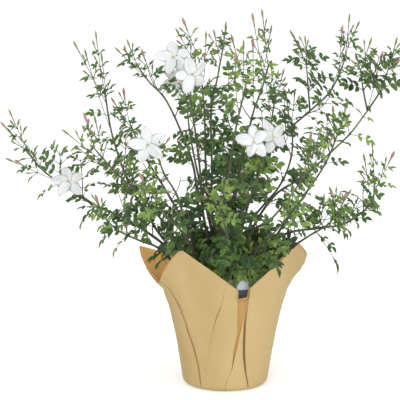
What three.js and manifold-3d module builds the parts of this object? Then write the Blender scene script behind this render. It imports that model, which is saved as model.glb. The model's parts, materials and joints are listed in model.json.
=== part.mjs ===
// A potted jasmine in a kraft paper cover, in millimetres, +Z up. The origin is under the middle of the pot.
//
// Its pieces: a folded paper cover with four turned-out corners, a plastic nursery pot standing in it,
// potting soil, the leafy stems that stand in holes in the soil, and the white blooms on their stalks.
// A stem, its side shoots, leaves and buds grow as one piece, so together they are one solid.
import * as THREE from "three";
import { mergeVertices } from "three/addons/utils/BufferGeometryUtils.js";
import Module from "manifold-3d";

const wasm = await Module();
wasm.setup();

// ---------- driving dimensions ----------
const CLEARANCE = 0.3; // between pieces that touch

const COVER = {
  paper: 0.9, // thickness
  wall: [[45, 0], [51.5, 4], [53.5, 22], [59.7, 62], [66.8, 98], [73, 116]], // outer radius, height
  lap: 1.1, // how far a pleat's edge stands proud of the paper it covers
  step: 0.9, // degrees over which the paper steps down to the next pleat's edge
  facet: 20, // most degrees between two upright lines of the wall
  // Corners and notches of the top edge, anticlockwise. The edge runs straight from one to the next.
  edge: [
    { angle: 8, height: 136, radius: 92 }, { angle: 62, height: 172, radius: 104 },
    { angle: 112, height: 128, radius: 80 }, { angle: 166, height: 162, radius: 108 },
    { angle: 203, height: 127, radius: 80 }, { angle: 238, height: 180, radius: 100 },
    { angle: 279, height: 131, radius: 79 }, { angle: 288, height: 132, radius: 79 },
    { angle: 322, height: 184, radius: 105 },
  ],
  // Pleat edges, anticlockwise: angle at the foot, angle at the top edge.
  pleats: [
    [20, 6], [52, 38], [88, 84], [122, 118], [160, 148], [190, 186], [234, 210], [247, 262], [297, 288],
  ],
  // The slit at the front, between its left edge and the pleat that follows it: the layer inside shows there.
  slit: { foot: 284, top: 279, depth: 1.5, drop: 10 },
};

const POT = {
  height: 141, baseRadius: 41.9, neckRadius: 68.5, rimRadius: 72.5, rimHeight: 14, lip: 1.5,
  wall: 1.6, floor: 2, sides: 20, drains: 4, drainRadius: 4, drainCircle: 30, drainSides: 6,
};

const SOIL = { top: 126, bump: 1.6, rings: [52, 24], edgeDrop: 1, holeDepth: 26 };

const STEM = { sides: 4, footRadius: 1.9, tipRadius: 0.75, step: 42, stub: 3 };
const SHOOT = { sides: 3, rootRadius: 1.0, tipRadius: 0.6, step: 40 };

const LEAF = {
  thickness: 0.62, stalk: 1.3, joint: 1.8, sunk: 0.8,
  slant: 52, // degrees between the rib and a leaflet
  large: { length: 50, leaflet: 16, width: 9, pairsAt: [0.34, 0.62] },
  small: { length: 34, leaflet: 13, width: 7.5, pairsAt: [0.46] },
  smallFrom: 0.6, // share of the stem beyond which its leaves are small
  firstAt: 42, internode: 64, // along a stem
  firstOnShoot: 24,
  lift: 58, liftSpread: 18, // degrees between the stem and a leaf
  turn: 90, turnSpread: 30, // degrees round the stem from one leaf to the next
  swings: [0, 30, -30, 60, -60, 100, -100], // tried in turn until the leaf is clear of the other plants
  upward: 0.7, tilt: 0.8, // how the upper faces turn from straight outwards
  droop: 0.26, shorten: 0.18, fold: 0.22,
  scale: 0.88, scaleSpread: 0.26,
};

// Slivers thinner than this, left where a leaf meets its stem, are smoothed away.
const SLIVER = 0.04;

const BUD = { sides: 3, stalk: 0.5, calyx: 0.8, widest: 1.5, length: 17, bow: 0.12, spacing: 0.06 };

const BLOOM = {
  tube: 17, tubeRadius: 1.0, throatRadius: 1.5, tubeSides: 5,
  petals: 5, petalLength: 17, petalWidth: 10, notch: 2.6, thickness: 0.7, cup: 0.1, twist: 0.12,
  stalk: 0.7, stalkEnd: 8,
};

// Each stem: where it leaves the soil, the points it passes, the tips of its buds, its blooms (the throat,
// the way it faces, and the share of the stem that its stalk leaves from) and its side shoots.
const STEMS = [
  {
    name: "stem_far_left", foot: [-38, 3],
    route: [
      [-74, 2, 168], [-120, 0, 200], [-161, 5, 218], [-192, 8, 238], [-220, 10, 258], [-237, 10, 280],
    ],
    buds: [[-260, 10, 333], [-270, 8, 318], [-248, 0, 302], [-265, 5, 274]],
    blooms: [
      { at: [-186, -26, 250], face: [-0.1, -0.85, 0.5], from: 0.62 },
    ],
  },
  {
    name: "stem_left_mid", foot: [-33, -14],
    route: [[-72, -40, 201], [-106, -60, 245], [-129, -65, 268], [-151, -68, 294]],
    buds: [[-164, -70, 338], [-152, -72, 336], [-190, -66, 318], [-176, -74, 300]],
  },
  {
    name: "stem_left_tall", foot: [-27, 8],
    route: [[-74, 15, 171], [-102, 25, 213], [-117, 30, 237], [-137, 35, 295], [-147, 40, 352]],
    buds: [[-157, 42, 424], [-184, 38, 412], [-150, 36, 398], [-171, 46, 402]],
  },
  {
    name: "stem_left_front", foot: [-20, -24],
    route: [[-43, -50, 191], [-57, -80, 242], [-71, -95, 269], [-78, -105, 291]],
    buds: [[-72, -112, 318]],
    blooms: [
      { at: [-89, -116, 306], face: [-0.15, -0.95, 0.2], from: 0.85 },
    ],
  },
  {
    name: "stem_top_left", foot: [-17, 17],
    route: [
      [-31, 30, 193], [-38, 50, 251], [-51, 62, 290], [-73, 72, 336], [-93, 78, 357], [-106, 82, 374],
    ],
    buds: [[-122, 88, 411], [-137, 84, 401], [-104, 92, 398]],
  },
  {
    name: "stem_bloom_top", foot: [-12, -10],
    route: [[-27, -30, 211], [-31, -55, 268], [-38, -75, 327], [-43, -82, 353]],
    buds: [[-36, -88, 402]],
    blooms: [
      { at: [-61, -88, 401], face: [-0.25, -0.9, 0.3] },
      { at: [-40, -104, 384], face: [0.2, -0.95, -0.15], from: 0.9 },
    ],
  },
  {
    name: "stem_centre", foot: [-6, 3],
    route: [[-20, 5, 204], [-24, 0, 260], [-26, -10, 333], [-32, -15, 393]],
    buds: [[-52, -20, 443], [-60, -18, 431], [-24, -22, 428]],
  },
  {
    name: "stem_centre_back", foot: [-2, 30],
    route: [[-16, 60, 194], [-16, 90, 246], [-17, 115, 319], [-9, 125, 358], [-2, 130, 396]],
    buds: [[2, 135, 430], [-14, 138, 420]],
  },
  {
    name: "stem_top", foot: [6, -4],
    route: [[2, -10, 207], [11, -15, 238], [25, -25, 305], [32, -28, 335], [41, -30, 360], [48, -32, 386]],
    buds: [[40, -33, 454], [29, -30, 449], [52, -36, 436], [30, -38, 420]],
  },
  {
    name: "stem_centre_front", foot: [-3, -25],
    route: [[-5, -60, 210], [1, -85, 262], [9, -100, 321], [20, -108, 372]],
    buds: [[3, -116, 430], [17, -114, 424], [8, -122, 410]],
  },
  {
    name: "stem_right_tall", foot: [14, 14],
    route: [
      [6, 25, 201], [26, 40, 252], [62, 50, 289], [104, 60, 324], [126, 64, 344], [138, 66, 364],
      [146, 68, 385],
    ],
    buds: [[152, 72, 443], [143, 66, 430], [165, 75, 434]],
    shoots: [
      {
        route: [[104, 60, 324], [101, 62, 359], [99, 63, 385]],
        buds: [[97, 66, 417], [78, 60, 424], [88, 56, 408]],
      },
    ],
  },
  {
    name: "stem_right_arch", foot: [26, -3],
    route: [
      [29, -15, 184], [57, -30, 234], [91, -40, 259], [131, -48, 298], [145, -50, 313],
      [162, -52, 337],
    ],
    buds: [[177, -62, 407]],
    shoots: [
      {
        route: [[162, -52, 337], [157, -47, 362], [154, -45, 383]],
        buds: [[167, -42, 422], [148, -40, 404]],
      },
      {
        route: [[162, -52, 337], [176, -60, 362], [184, -64, 388]],
        buds: [[193, -66, 424], [199, -58, 398]],
      },
    ],
  },
  {
    name: "stem_right_low", foot: [39, -8],
    route: [
      [56, -20, 172], [74, -28, 189], [118, -35, 197], [137, -38, 201], [156, -40, 213],
      [171, -42, 230], [173, -42, 255],
    ],
    buds: [[169, -42, 304], [196, -44, 290], [160, -36, 286]],
  },
  {
    name: "stem_left_low", foot: [-42, -24],
    route: [[-78, -30, 169], [-102, -45, 183], [-127, -58, 198], [-142, -66, 215]],
    buds: [[-152, -74, 244]],
  },
  {
    name: "stem_right_back", foot: [27, 22],
    route: [[31, 60, 181], [69, 80, 228], [84, 90, 266], [84, 95, 308]],
    buds: [[88, 100, 349], [76, 98, 344]],
  },
  {
    name: "stem_right_mid", foot: [19, -22],
    route: [[27, -60, 193], [49, -90, 216], [72, -110, 249], [89, -120, 279]],
    buds: [[104, -128, 330], [92, -130, 324], [118, -122, 318]],
  },
  {
    name: "stem_right_front", foot: [34, -26],
    route: [[66, -40, 165], [95, -56, 190], [116, -72, 207], [128, -80, 224]],
    buds: [[116, -86, 255], [142, -86, 252]],
  },
  {
    name: "stem_bloom_mid", foot: [8, -32],
    route: [[10, -60, 199], [23, -80, 233], [34, -98, 265], [40, -104, 284]],
    blooms: [
      { at: [29, -132, 312], face: [-0.5, -0.8, 0.2] },
      { at: [50, -112, 315], face: [0.6, -0.7, 0.3] },
    ],
  },
  {
    name: "stem_back_left", foot: [-26, 34],
    route: [[-48, 62, 178], [-76, 96, 222], [-104, 126, 262], [-122, 146, 300]],
    buds: [[-130, 156, 344], [-146, 150, 332]],
  },
  {
    name: "stem_back_mid", foot: [-8, 46],
    route: [[-20, 78, 186], [-34, 116, 238], [-44, 150, 284], [-48, 168, 322]],
    buds: [[-40, 178, 364]],
    blooms: [
      { at: [-62, 182, 352], face: [-0.25, 0.9, 0.3] },
    ],
  },
  {
    name: "stem_back_right", foot: [14, 42],
    route: [[24, 76, 184], [42, 112, 234], [58, 142, 286], [66, 160, 330]],
    buds: [[60, 168, 376], [78, 166, 368], [52, 176, 362]],
    blooms: [
      { at: [24, 150, 240], face: [0.1, 0.9, 0.35], from: 0.5 },
    ],
  },
  {
    name: "stem_back_far_right", foot: [38, 34],
    route: [[66, 56, 172], [98, 82, 212], [128, 106, 252], [144, 118, 288]],
    buds: [[158, 128, 330], [138, 130, 324]],
  },
  {
    name: "stem_front_left", foot: [-26, -38],
    route: [[-44, -74, 188], [-66, -112, 222], [-84, -140, 246]],
    buds: [[-98, -154, 282], [-82, -160, 276]],
  },
  {
    name: "stem_front_mid", foot: [0, -46],
    route: [[2, -84, 176], [-2, -122, 212], [-10, -152, 240]],
    buds: [[-6, -166, 280], [-26, -166, 268]],
  },
  {
    name: "stem_front_right", foot: [20, -44],
    route: [[34, -80, 178], [52, -116, 206], [66, -142, 230]],
    buds: [[72, -156, 268], [86, -150, 256]],
  },
  {
    name: "stem_back_low", foot: [7, 53],
    route: [[6, 92, 172], [4, 130, 204], [-2, 162, 232]],
    buds: [[-6, 182, 266], [12, 180, 258]],
  },
];

// ---------- materials ----------
function look(color, roughness) {
  return new THREE.MeshStandardMaterial({ color, roughness, metalness: 0, flatShading: true });
}

const MATERIALS = {
  kraft: look(0xcfae78, 0.85),
  plastic: look(0x8d93a3, 0.45),
  soil: look(0x33261c, 0.95),
  leaf: look(0x46722f, 0.6),
  petal: look(0xf4f3ee, 0.55),
};

// ---------- small tools ----------
const UP = new THREE.Vector3(0, 0, 1);
const radians = THREE.MathUtils.degToRad;
const vector = ([x, y, z]) => new THREE.Vector3(x, y, z);
const polar = (radius, angle, z) => new THREE.Vector3(radius * Math.cos(angle), radius * Math.sin(angle), z);

// A repeatable draw from 0 to 1: the same two numbers always give the same draw.
function draw(seed, n) {
  const x = Math.abs(Math.sin(seed * 12.9898 + n * 78.233) * 43758.5453);
  return x - Math.floor(x);
}

// Points along a smooth curve through the given ones, about `step` apart.
function smoothLine(points, step) {
  const span = points.slice(1).reduce((sum, p, i) => sum + p.distanceTo(points[i]), 0);
  const curve = new THREE.CatmullRomCurve3(points, false, "catmullrom", 0.5);
  return curve.getPoints(Math.max(2, Math.round(span / step)));
}

// The point at a distance along a line of points, and the direction of the line there.
function alongLine(points, distance) {
  let left = distance;
  for (let i = 1; i < points.length; i++) {
    const length = points[i].distanceTo(points[i - 1]);
    const along = points[i].clone().sub(points[i - 1]).normalize();
    if (left <= length || i === points.length - 1) {
      return { at: points[i - 1].clone().addScaledVector(along, Math.min(left, length)), along };
    }
    left -= length;
  }
}

function lineLength(points) {
  return points.slice(1).reduce((sum, p, i) => sum + p.distanceTo(points[i]), 0);
}

function solidOfGeometry(geometry) {
  const bare = geometry.clone();
  bare.deleteAttribute("normal");
  bare.deleteAttribute("uv");
  const merged = mergeVertices(bare, 1e-4);
  return new wasm.Manifold(new wasm.Mesh({
    numProp: 3,
    vertProperties: new Float32Array(merged.attributes.position.array),
    triVerts: new Uint32Array(merged.index.array),
  }));
}

function solidOf(vertices, triangles) {
  const geometry = new THREE.BufferGeometry().setFromPoints(vertices);
  geometry.setIndex(triangles.flat());
  return solidOfGeometry(geometry);
}

function geometryOf(solid) {
  const { vertProperties, triVerts } = solid.getMesh();
  const geometry = new THREE.BufferGeometry();
  geometry.setAttribute("position", new THREE.BufferAttribute(new Float32Array(vertProperties), 3));
  geometry.setIndex(new THREE.BufferAttribute(new Uint32Array(triVerts), 1));
  return geometry;
}

// A closed solid through rings of points, from the first, which is capped, to the last.
// A last ring of one point is a pointed end.
function solidThroughRings(rings) {
  const sides = rings[0].length;
  const triangles = [];
  for (let r = 1; r < rings.length; r++) {
    const a = (r - 1) * sides;
    const b = r * sides;
    for (let i = 0; i < sides; i++) {
      const j = (i + 1) % sides;
      if (rings[r].length === 1) triangles.push([a + i, a + j, b]);
      else triangles.push([a + i, a + j, b + j], [a + i, b + j, b + i]);
    }
  }
  const top = (rings.length - 1) * sides;
  for (let i = 1; i < sides - 1; i++) {
    triangles.push([0, i + 1, i]);
    if (rings.at(-1).length > 1) triangles.push([top, top + i, top + i + 1]);
  }
  return solidOf(rings.flat(), triangles);
}

// A tube along a line of points, with a radius for each. Its section is carried along without twisting.
function taperedTube(points, radii, sides) {
  const across = new THREE.Vector3(1, 0, 0);
  const rings = points.map((p, i) => {
    const before = points[Math.max(i - 1, 0)];
    const after = points[Math.min(i + 1, points.length - 1)];
    const along = after.clone().sub(before).normalize();
    across.addScaledVector(along, -across.dot(along)).normalize();
    const other = along.clone().cross(across);
    if (radii[i] === 0) return [p];
    return Array.from({ length: sides }, (_, k) => {
      const { x, y } = polar(radii[i], (k / sides) * 2 * Math.PI, 0);
      return p.clone().addScaledVector(across, x).addScaledVector(other, y);
    });
  });
  return solidThroughRings(rings);
}

function taper(count, from, to) {
  return Array.from({ length: count }, (_, i) => from + ((to - from) * i) / (count - 1));
}

// A thin blade: an outline of [along, across] points, laid on a curved surface and given its thickness.
// Both faces are divided alike, so they never cross.
function blade(outline, faces, place, thickness) {
  const n = outline.length;
  const vertices = [thickness / 2, -thickness / 2].flatMap((offset) => outline.map(([u, v]) => {
    const { point, normal } = place(u, v);
    return point.addScaledVector(normal, offset);
  }));
  const triangles = faces.flatMap(([a, b, c]) => [[a, b, c], [n + a, n + c, n + b]]);
  for (let i = 0; i < n; i++) {
    const j = (i + 1) % n;
    triangles.push([i, n + i, n + j], [i, n + j, j]);
  }
  return solidOf(vertices, triangles);
}

// ---------- paper cover ----------
// Reads a list of [angle, value] pairs, in rising angle, as straight runs round the full circle.
function aroundCircle(pairs, angle) {
  const turned = angle < pairs[0][0] ? angle + 360 : angle;
  const [first] = pairs;
  const closed = [...pairs, [first[0] + 360, first[1]]];
  const i = closed.findIndex(([from]) => from > turned) - 1;
  const [[a, from], [b, to]] = [closed[i < 0 ? pairs.length - 1 : i], closed[i < 0 ? pairs.length : i + 1]];
  return from + ((to - from) * (turned - a)) / (b - a);
}

// The upright lines of the wall, each with its angle at the foot and at the top edge,
// and how far the paper stands out there.
function coverLines() {
  const { pleats, slit, lap, step, edge, facet } = COVER;
  const turns = pleats.map(([foot, top]) => [top, foot - top]);
  const edgeAngles = edge.flatMap(({ angle }) => [angle, angle + 360]).sort((a, b) => a - b);
  const lines = [];
  pleats.forEach(([foot, top], i) => {
    const [nextFoot, nextTop] = pleats[i + 1] ?? pleats[0].map((angle) => angle + 360);
    const isSlit = slit.top > top && slit.top < nextTop;
    const end = isSlit ? slit.top : nextTop - step;
    lines.push({ foot, top, out: lap });
    const stops = [top, ...edgeAngles.filter((angle) => angle > top + 3 && angle < end - 3), end];
    const between = stops.slice(1).flatMap((stop, k) => {
      const count = Math.ceil((stop - stops[k]) / facet);
      return Array.from({ length: count }, (_, n) => stops[k] + ((stop - stops[k]) * (n + 1)) / count);
    });
    for (const angle of between.slice(0, -1)) {
      const out = (lap * (end - angle)) / (end - top);
      lines.push({ foot: angle + aroundCircle(turns, angle % 360), top: angle, out });
    }
    if (isSlit) {
      lines.push({ foot: slit.foot, top: slit.top, out: 0 });
      lines.push({ foot: slit.foot + step, top: slit.top + step, out: -slit.depth });
    }
    lines.push({ foot: nextFoot - step, top: nextTop - step, out: isSlit ? -slit.depth : 0 });
  });
  return lines;
}

function paperCover() {
  const { wall, paper, edge, slit } = COVER;
  const lines = coverLines();
  const heights = edge.map((e) => [e.angle, e.height]);
  const radii = edge.map((e) => [e.angle, e.radius]);
  const [foldRadius, foldHeight] = wall.at(-1);
  const flare = [0.5, 1];
  // Outer radius, height and angle of the paper on one upright line.
  const section = (line) => {
    const rows = wall.map(([radius, z], row) => {
      const share = row / (wall.length - 1);
      const angle = line.foot + (line.top - line.foot) * share;
      return { radius: radius + (row < 2 ? 0 : line.out), z, angle };
    });
    const topHeight = aroundCircle(heights, line.top % 360) - (line.out < 0 ? slit.drop : 0);
    const topRadius = aroundCircle(radii, line.top % 360);
    for (const t of flare) {
      const radius = foldRadius + (topRadius - foldRadius) * t + line.out;
      rows.push({ radius, z: foldHeight + (topHeight - foldHeight) * t, angle: line.top });
    }
    return rows;
  };
  // The inner face lies the paper's thickness inside the outer one, and above it on the floor.
  const rise = [paper, 0.7 * paper];
  const outer = lines.flatMap((line) => section(line).map(({ radius, z, angle }) => (
    polar(radius, radians(angle), z))));
  const inner = lines.flatMap((line) => section(line).map(({ radius, z, angle }, row) => (
    polar(radius - paper, radians(angle), z + (rise[row] ?? 0)))));
  const rows = wall.length + flare.length;
  const inside = outer.length;
  const triangles = [];
  for (let i = 0; i < lines.length; i++) {
    const a = i * rows;
    const b = ((i + 1) % lines.length) * rows;
    for (let row = 0; row < rows - 1; row++) {
      const [p, q] = [a + row, b + row];
      triangles.push([p, q, q + 1], [p, q + 1, p + 1]);
      triangles.push([inside + p, inside + q + 1, inside + q], [inside + p, inside + p + 1, inside + q + 1]);
    }
    const [p, q] = [a + rows - 1, b + rows - 1];
    triangles.push([p, q, inside + q], [p, inside + q, inside + p]);
    if (i > 0 && i < lines.length - 1) triangles.push([0, b, a], [inside, inside + a, inside + b]);
  }
  return solidOf([...outer, ...inner], triangles);
}

// ---------- nursery pot and soil ----------
const potBase = COVER.paper + CLEARANCE;

// Outer radius of the pot's wall at a height.
function potRadius(z) {
  return POT.baseRadius + ((POT.neckRadius - POT.baseRadius) * (z - potBase)) / (POT.height - POT.rimHeight);
}

function nurseryPot() {
  const { height, rimHeight, rimRadius, neckRadius, lip, wall, floor } = POT;
  const top = potBase + height;
  const neck = top - rimHeight;
  const profile = [
    [0, potBase], [potRadius(potBase), potBase],
    [neckRadius, neck], [rimRadius, neck + lip], [rimRadius, top], [rimRadius - wall, top],
    [rimRadius - wall, neck + lip + wall], [neckRadius - wall, neck],
    [potRadius(potBase + floor) - wall, potBase + floor], [0, potBase + floor],
  ];
  const turned = new THREE.LatheGeometry(profile.map(([r, z]) => new THREE.Vector2(r, z)), POT.sides);
  const upright = turned.rotateX(Math.PI / 2); // a lathe turns about Y and the pot stands along Z
  const drains = Array.from({ length: POT.drains }, (_, i) => {
    const { x, y } = polar(POT.drainCircle, ((i + 0.5) / POT.drains) * 2 * Math.PI, 0);
    const drill = new THREE.CylinderGeometry(POT.drainRadius, POT.drainRadius, 2 * floor, POT.drainSides);
    return solidOfGeometry(drill.rotateX(Math.PI / 2).translate(x, y, potBase + floor / 2));
  });
  return solidOfGeometry(upright).subtract(wasm.Manifold.union(drains));
}

function pottingSoil() {
  const { top, bump, rings, edgeDrop, holeDepth } = SOIL;
  const { sides } = POT; // flat against flat, so the gap is even all round
  const bottom = potBase + POT.floor + CLEARANCE;
  const gap = POT.wall + 1.5 * CLEARANCE;
  const ring = (radius, heightAt) => Array.from({ length: sides }, (_, i) => (
    polar(radius, (i / sides) * 2 * Math.PI, heightAt(i))));
  const body = solidThroughRings([
    ring(potRadius(bottom) - gap, () => bottom),
    ring(potRadius(top) - gap, () => top - edgeDrop),
    ...rings.map((radius, k) => ring(radius, (i) => top + bump * (2 * draw(k + 1, i + 1) - 1))),
  ]);
  const holeRadius = STEM.footRadius + CLEARANCE / Math.cos(Math.PI / STEM.sides);
  const holes = STEMS.map(({ foot: [x, y] }) => {
    const line = [vector([x, y, top - holeDepth]), vector([x, y, top + 4 * bump])];
    return taperedTube(line, [holeRadius, holeRadius], STEM.sides);
  });
  return body.subtract(wasm.Manifold.union(holes));
}

// ---------- stems, shoots and buds ----------
// The middle line of a stem: straight up out of the soil, then along its points.
function stemLine({ foot: [x, y], route }) {
  const out = [x, y, SOIL.top + STEM.stub];
  const inSoil = vector([x, y, SOIL.top - SOIL.holeDepth + CLEARANCE]);
  return [inSoil, ...smoothLine([out, ...route].map(vector), STEM.step)];
}

function budOn(line, tip, index, seed) {
  const from = alongLine(line, lineLength(line) * (1 - BUD.spacing * index)).at;
  const to = vector(tip);
  const reach = to.clone().sub(from);
  const side = reach.clone().cross(UP).normalize();
  const bow = BUD.bow * (draw(seed, index + 20) - 0.5);
  const middle = from.clone().lerp(to, 0.5).addScaledVector(side, bow * reach.length());
  const neck = 1 - BUD.length / reach.length();
  const curve = new THREE.QuadraticBezierCurve3(from, middle, to);
  const points = [0, neck, (1 + neck) / 2, 1].map((t) => curve.getPoint(t));
  return taperedTube(points, [BUD.stalk, BUD.calyx, BUD.widest, 0], BUD.sides);
}

// ---------- leaves ----------
// The outline of a compound leaf: its rib, pairs of leaflets cut in to the rib, and one leaflet at the end.
function leafOutline({ length, leaflet, width, pairsAt }) {
  const half = LEAF.stalk / 2;
  const slant = radians(LEAF.slant);
  const side = [[-LEAF.sunk, half]];
  for (const share of pairsAt) {
    const u = share * length;
    const onLeaflet = (a, b) => [
      u + a * Math.cos(slant) - b * Math.sin(slant),
      half + a * Math.sin(slant) + b * Math.cos(slant),
    ];
    side.push([u - LEAF.joint / 2, half], onLeaflet(leaflet * 0.5, width * 0.4), onLeaflet(leaflet, 0));
    side.push(onLeaflet(leaflet * 0.5, -width * 0.4), [u + LEAF.joint / 2, half]);
  }
  side.push([length - leaflet, half], [length - leaflet * 0.45, width * 0.5]);
  const otherSide = side.map(([u, v]) => [u, -v]);
  return [...otherSide, [length, 0], ...side.reverse()];
}

// The triangles of a leaf's outline. They only join neighbours along the rib, so a leaf can bend without
// folding through itself.
function leafFaces({ pairsAt }) {
  const base = 1 + 5 * pairsAt.length;
  const tip = base + 2;
  const left = (k) => k;
  const right = (k) => 2 * tip - k;
  const starts = pairsAt.map((_, pair) => 1 + 5 * pair);
  const stations = [0, ...starts.flatMap((start) => [start, start + 4]), base, base + 1];
  const rib = stations.slice(1).flatMap((next, i) => {
    const last = stations[i];
    return [[left(last), left(next), right(next)], [left(last), right(next), right(last)]];
  });
  const leaflets = starts.flatMap((start) => {
    const corners = [[0, 1, 3], [1, 2, 3], [0, 3, 4]].map((face) => face.map((k) => start + k));
    return [...corners.map((face) => face.map(left)), ...corners.map((face) => face.map(right).reverse())];
  });
  return [...rib, ...leaflets, [left(base + 1), tip, right(base + 1)]];
}

const LEAF_SHAPES = {
  large: { outline: leafOutline(LEAF.large), faces: leafFaces(LEAF.large) },
  small: { outline: leafOutline(LEAF.small), faces: leafFaces(LEAF.small) },
};

// Where the leaves of a stem stand. They come in opposite pairs, each pair turned from the last,
// and one leaf of each pair is made.
function leafSites(line, seed, first) {
  const length = lineLength(line);
  const sites = [];
  for (let i = 0, s = first; s < length - 4; i++, s += LEAF.internode) {
    const { at, along } = alongLine(line, s);
    const side = UP.clone().cross(along).normalize();
    const rise = along.clone().cross(side).negate();
    const turn = LEAF.turn * i + LEAF.turnSpread * (draw(seed, i + 1) - 0.5);
    const kind = s > LEAF.smallFrom * length ? "small" : "large";
    sites.push({ at, along, side, rise, turn, seed: seed * 53 + i, kind });
  }
  return sites;
}

function leafAt({ at, along, side, rise, turn, seed, kind }, swing) {
  const angle = radians(turn + swing);
  const away = side.clone().multiplyScalar(Math.cos(angle)).addScaledVector(rise, Math.sin(angle));
  const lift = radians(LEAF.lift + LEAF.liftSpread * (draw(seed, 2) - 0.5));
  const out = along.clone().multiplyScalar(Math.cos(lift)).addScaledVector(away, Math.sin(lift));
  const tilt = new THREE.Vector3(draw(seed, 3) - 0.5, draw(seed, 4) - 0.5, 0);
  const outward = new THREE.Vector3(at.x, at.y, 0).normalize();
  const light = outward.addScaledVector(UP, LEAF.upward).addScaledVector(tilt, LEAF.tilt);
  const across = light.cross(out).normalize();
  const normal = out.clone().cross(across);
  const scale = LEAF.scale + LEAF.scaleSpread * draw(seed, 5);
  const length = LEAF[kind].length * scale;
  // The leaf arches over towards its tip, and its leaflets fold up a little.
  const place = (u, v) => {
    const s = Math.max(u * scale, 0) / length;
    const point = at.clone().addScaledVector(out, u * scale * (1 - LEAF.shorten * s * s));
    point.addScaledVector(across, v).addScaledVector(normal, LEAF.fold * Math.abs(v) * s);
    point.addScaledVector(UP, -LEAF.droop * length * s * s);
    const slope = out.clone().addScaledVector(UP, -2 * LEAF.droop * s);
    return { point, normal: slope.cross(across).normalize() };
  };
  return blade(LEAF_SHAPES[kind].outline, LEAF_SHAPES[kind].faces, place, LEAF.thickness);
}

// ---------- blooms ----------
// A star of petals on a slender tube. `at` is the throat.
function bloomSolid({ at, face }) {
  const throat = vector(at);
  const facing = vector(face).normalize();
  const across = facing.clone().cross(UP).normalize();
  const other = facing.clone().cross(across);
  const { petals, petalLength, petalWidth, cup } = BLOOM;
  const outline = Array.from({ length: petals }, (_, k) => {
    const angle = (k / petals) * 2 * Math.PI;
    const onPetal = (u, v) => {
      const { x, y } = polar(1, angle, 0);
      return [u * petalLength * x - v * petalWidth * y, u * petalLength * y + v * petalWidth * x];
    };
    const notch = polar(BLOOM.notch, angle - Math.PI / petals, 0);
    const edge = [[0.6, -0.5], [0.95, -0.24], [0.95, 0.24], [0.6, 0.5]].map(([u, v]) => onPetal(u, v));
    return [[notch.x, notch.y], ...edge];
  }).flat();
  const place = (u, v) => {
    const reach = Math.hypot(u, v) / petalLength;
    const rise = cup * (0.4 - reach * reach) + BLOOM.twist * reach * Math.sin(petals * Math.atan2(v, u));
    const point = throat.clone().addScaledVector(across, u).addScaledVector(other, v);
    return { point: point.addScaledVector(facing, petalLength * rise), normal: facing };
  };
  const back = throat.clone().addScaledVector(facing, -BLOOM.tube);
  const front = throat.clone().addScaledVector(facing, petalLength * cup * 0.4);
  const tube = taperedTube([back, front], [BLOOM.tubeRadius, BLOOM.throatRadius], BLOOM.tubeSides);
  const faces = THREE.ShapeUtils.triangulateShape(outline.map(([u, v]) => new THREE.Vector2(u, v)), []);
  return blade(outline, faces, place, BLOOM.thickness).add(tube);
}

// A bloom's stalk leaves the stem and ends square, just behind the bloom's tube. It leaves far enough down
// the stem (`from`) to turn by a right angle or so at most, since a sharper turn folds it through itself.
function bloomStalk(line, { at, face, from = 1 }) {
  const facing = vector(face).normalize();
  const root = alongLine(line, lineLength(line) * from).at;
  const end = vector(at).addScaledVector(facing, -(BLOOM.tube + CLEARANCE));
  const bend = end.clone().addScaledVector(facing, -BLOOM.stalkEnd);
  return taperedTube([root, bend, end], taper(3, BLOOM.stalk, BLOOM.tubeRadius), BLOOM.tubeSides);
}

// ---------- assembly ----------
const withBox = (name, solid) => ({ name, solid, box: solid.boundingBox() });

function isClear(solid, others) {
  const box = solid.boundingBox();
  return others.every((other) => {
    const isApart = [0, 1, 2].some((k) => (
      box.min[k] > other.box.max[k] + 1 || other.box.min[k] > box.max[k] + 1));
    return isApart || solid.minGap(other.solid, 3 * CLEARANCE) > 1.5 * CLEARANCE;
  });
}

// A stem with its side shoots and all their buds and bloom stalks, still without leaves.
function growPlant(stem, index) {
  const main = {
    line: stemLine(stem), buds: stem.buds ?? [], first: SOIL.holeDepth + LEAF.firstAt, seed: index + 1,
  };
  const shoots = (stem.shoots ?? []).map(({ route, buds }, k) => {
    const line = smoothLine(route.map(vector), SHOOT.step);
    return { line, buds, first: LEAF.firstOnShoot, seed: 100 + 3 * index + k };
  });
  const pieces = [
    taperedTube(main.line, taper(main.line.length, STEM.footRadius, STEM.tipRadius), STEM.sides),
    ...shoots.map(({ line }) => (
      taperedTube(line, taper(line.length, SHOOT.rootRadius, SHOOT.tipRadius), SHOOT.sides))),
    ...[main, ...shoots].flatMap(({ line, buds, seed }) => buds.map((tip, k) => budOn(line, tip, k, seed))),
    ...(stem.blooms ?? []).map((bloom) => bloomStalk(main.line, bloom)),
  ];
  return { ...withBox(stem.name, wasm.Manifold.union(pieces)), branches: [main, ...shoots] };
}

// A plant's leaves, each swung round its stem until it is clear of everything else, or left out.
function growLeaves(plant, others) {
  const leaves = [];
  for (const { line, seed, first } of plant.branches) {
    for (const site of leafSites(line, seed, first)) {
      const neighbours = [...others, ...leaves];
      const clear = LEAF.swings.map((swing) => leafAt(site, swing)).find((leaf) => isClear(leaf, neighbours));
      if (clear) leaves.push(withBox("leaf", clear));
    }
  }
  return wasm.Manifold.union([plant.solid, ...leaves.map(({ solid }) => solid)]).simplify(SLIVER);
}

const holders = {
  paper_cover: [paperCover(), MATERIALS.kraft],
  nursery_pot: [nurseryPot(), MATERIALS.plastic],
  potting_soil: [pottingSoil(), MATERIALS.soil],
};
const blooms = STEMS.flatMap((stem) => stem.blooms ?? []).map((bloom, i) => (
  withBox(`bloom_${i + 1}`, bloomSolid(bloom))));
const plants = STEMS.map(growPlant);
const fixed = [...Object.entries(holders).map(([name, [solid]]) => withBox(name, solid)), ...blooms];
for (const plant of plants) {
  const leafy = growLeaves(plant, [...fixed, ...plants.filter((other) => other !== plant)]);
  Object.assign(plant, withBox(plant.name, leafy));
}

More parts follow.
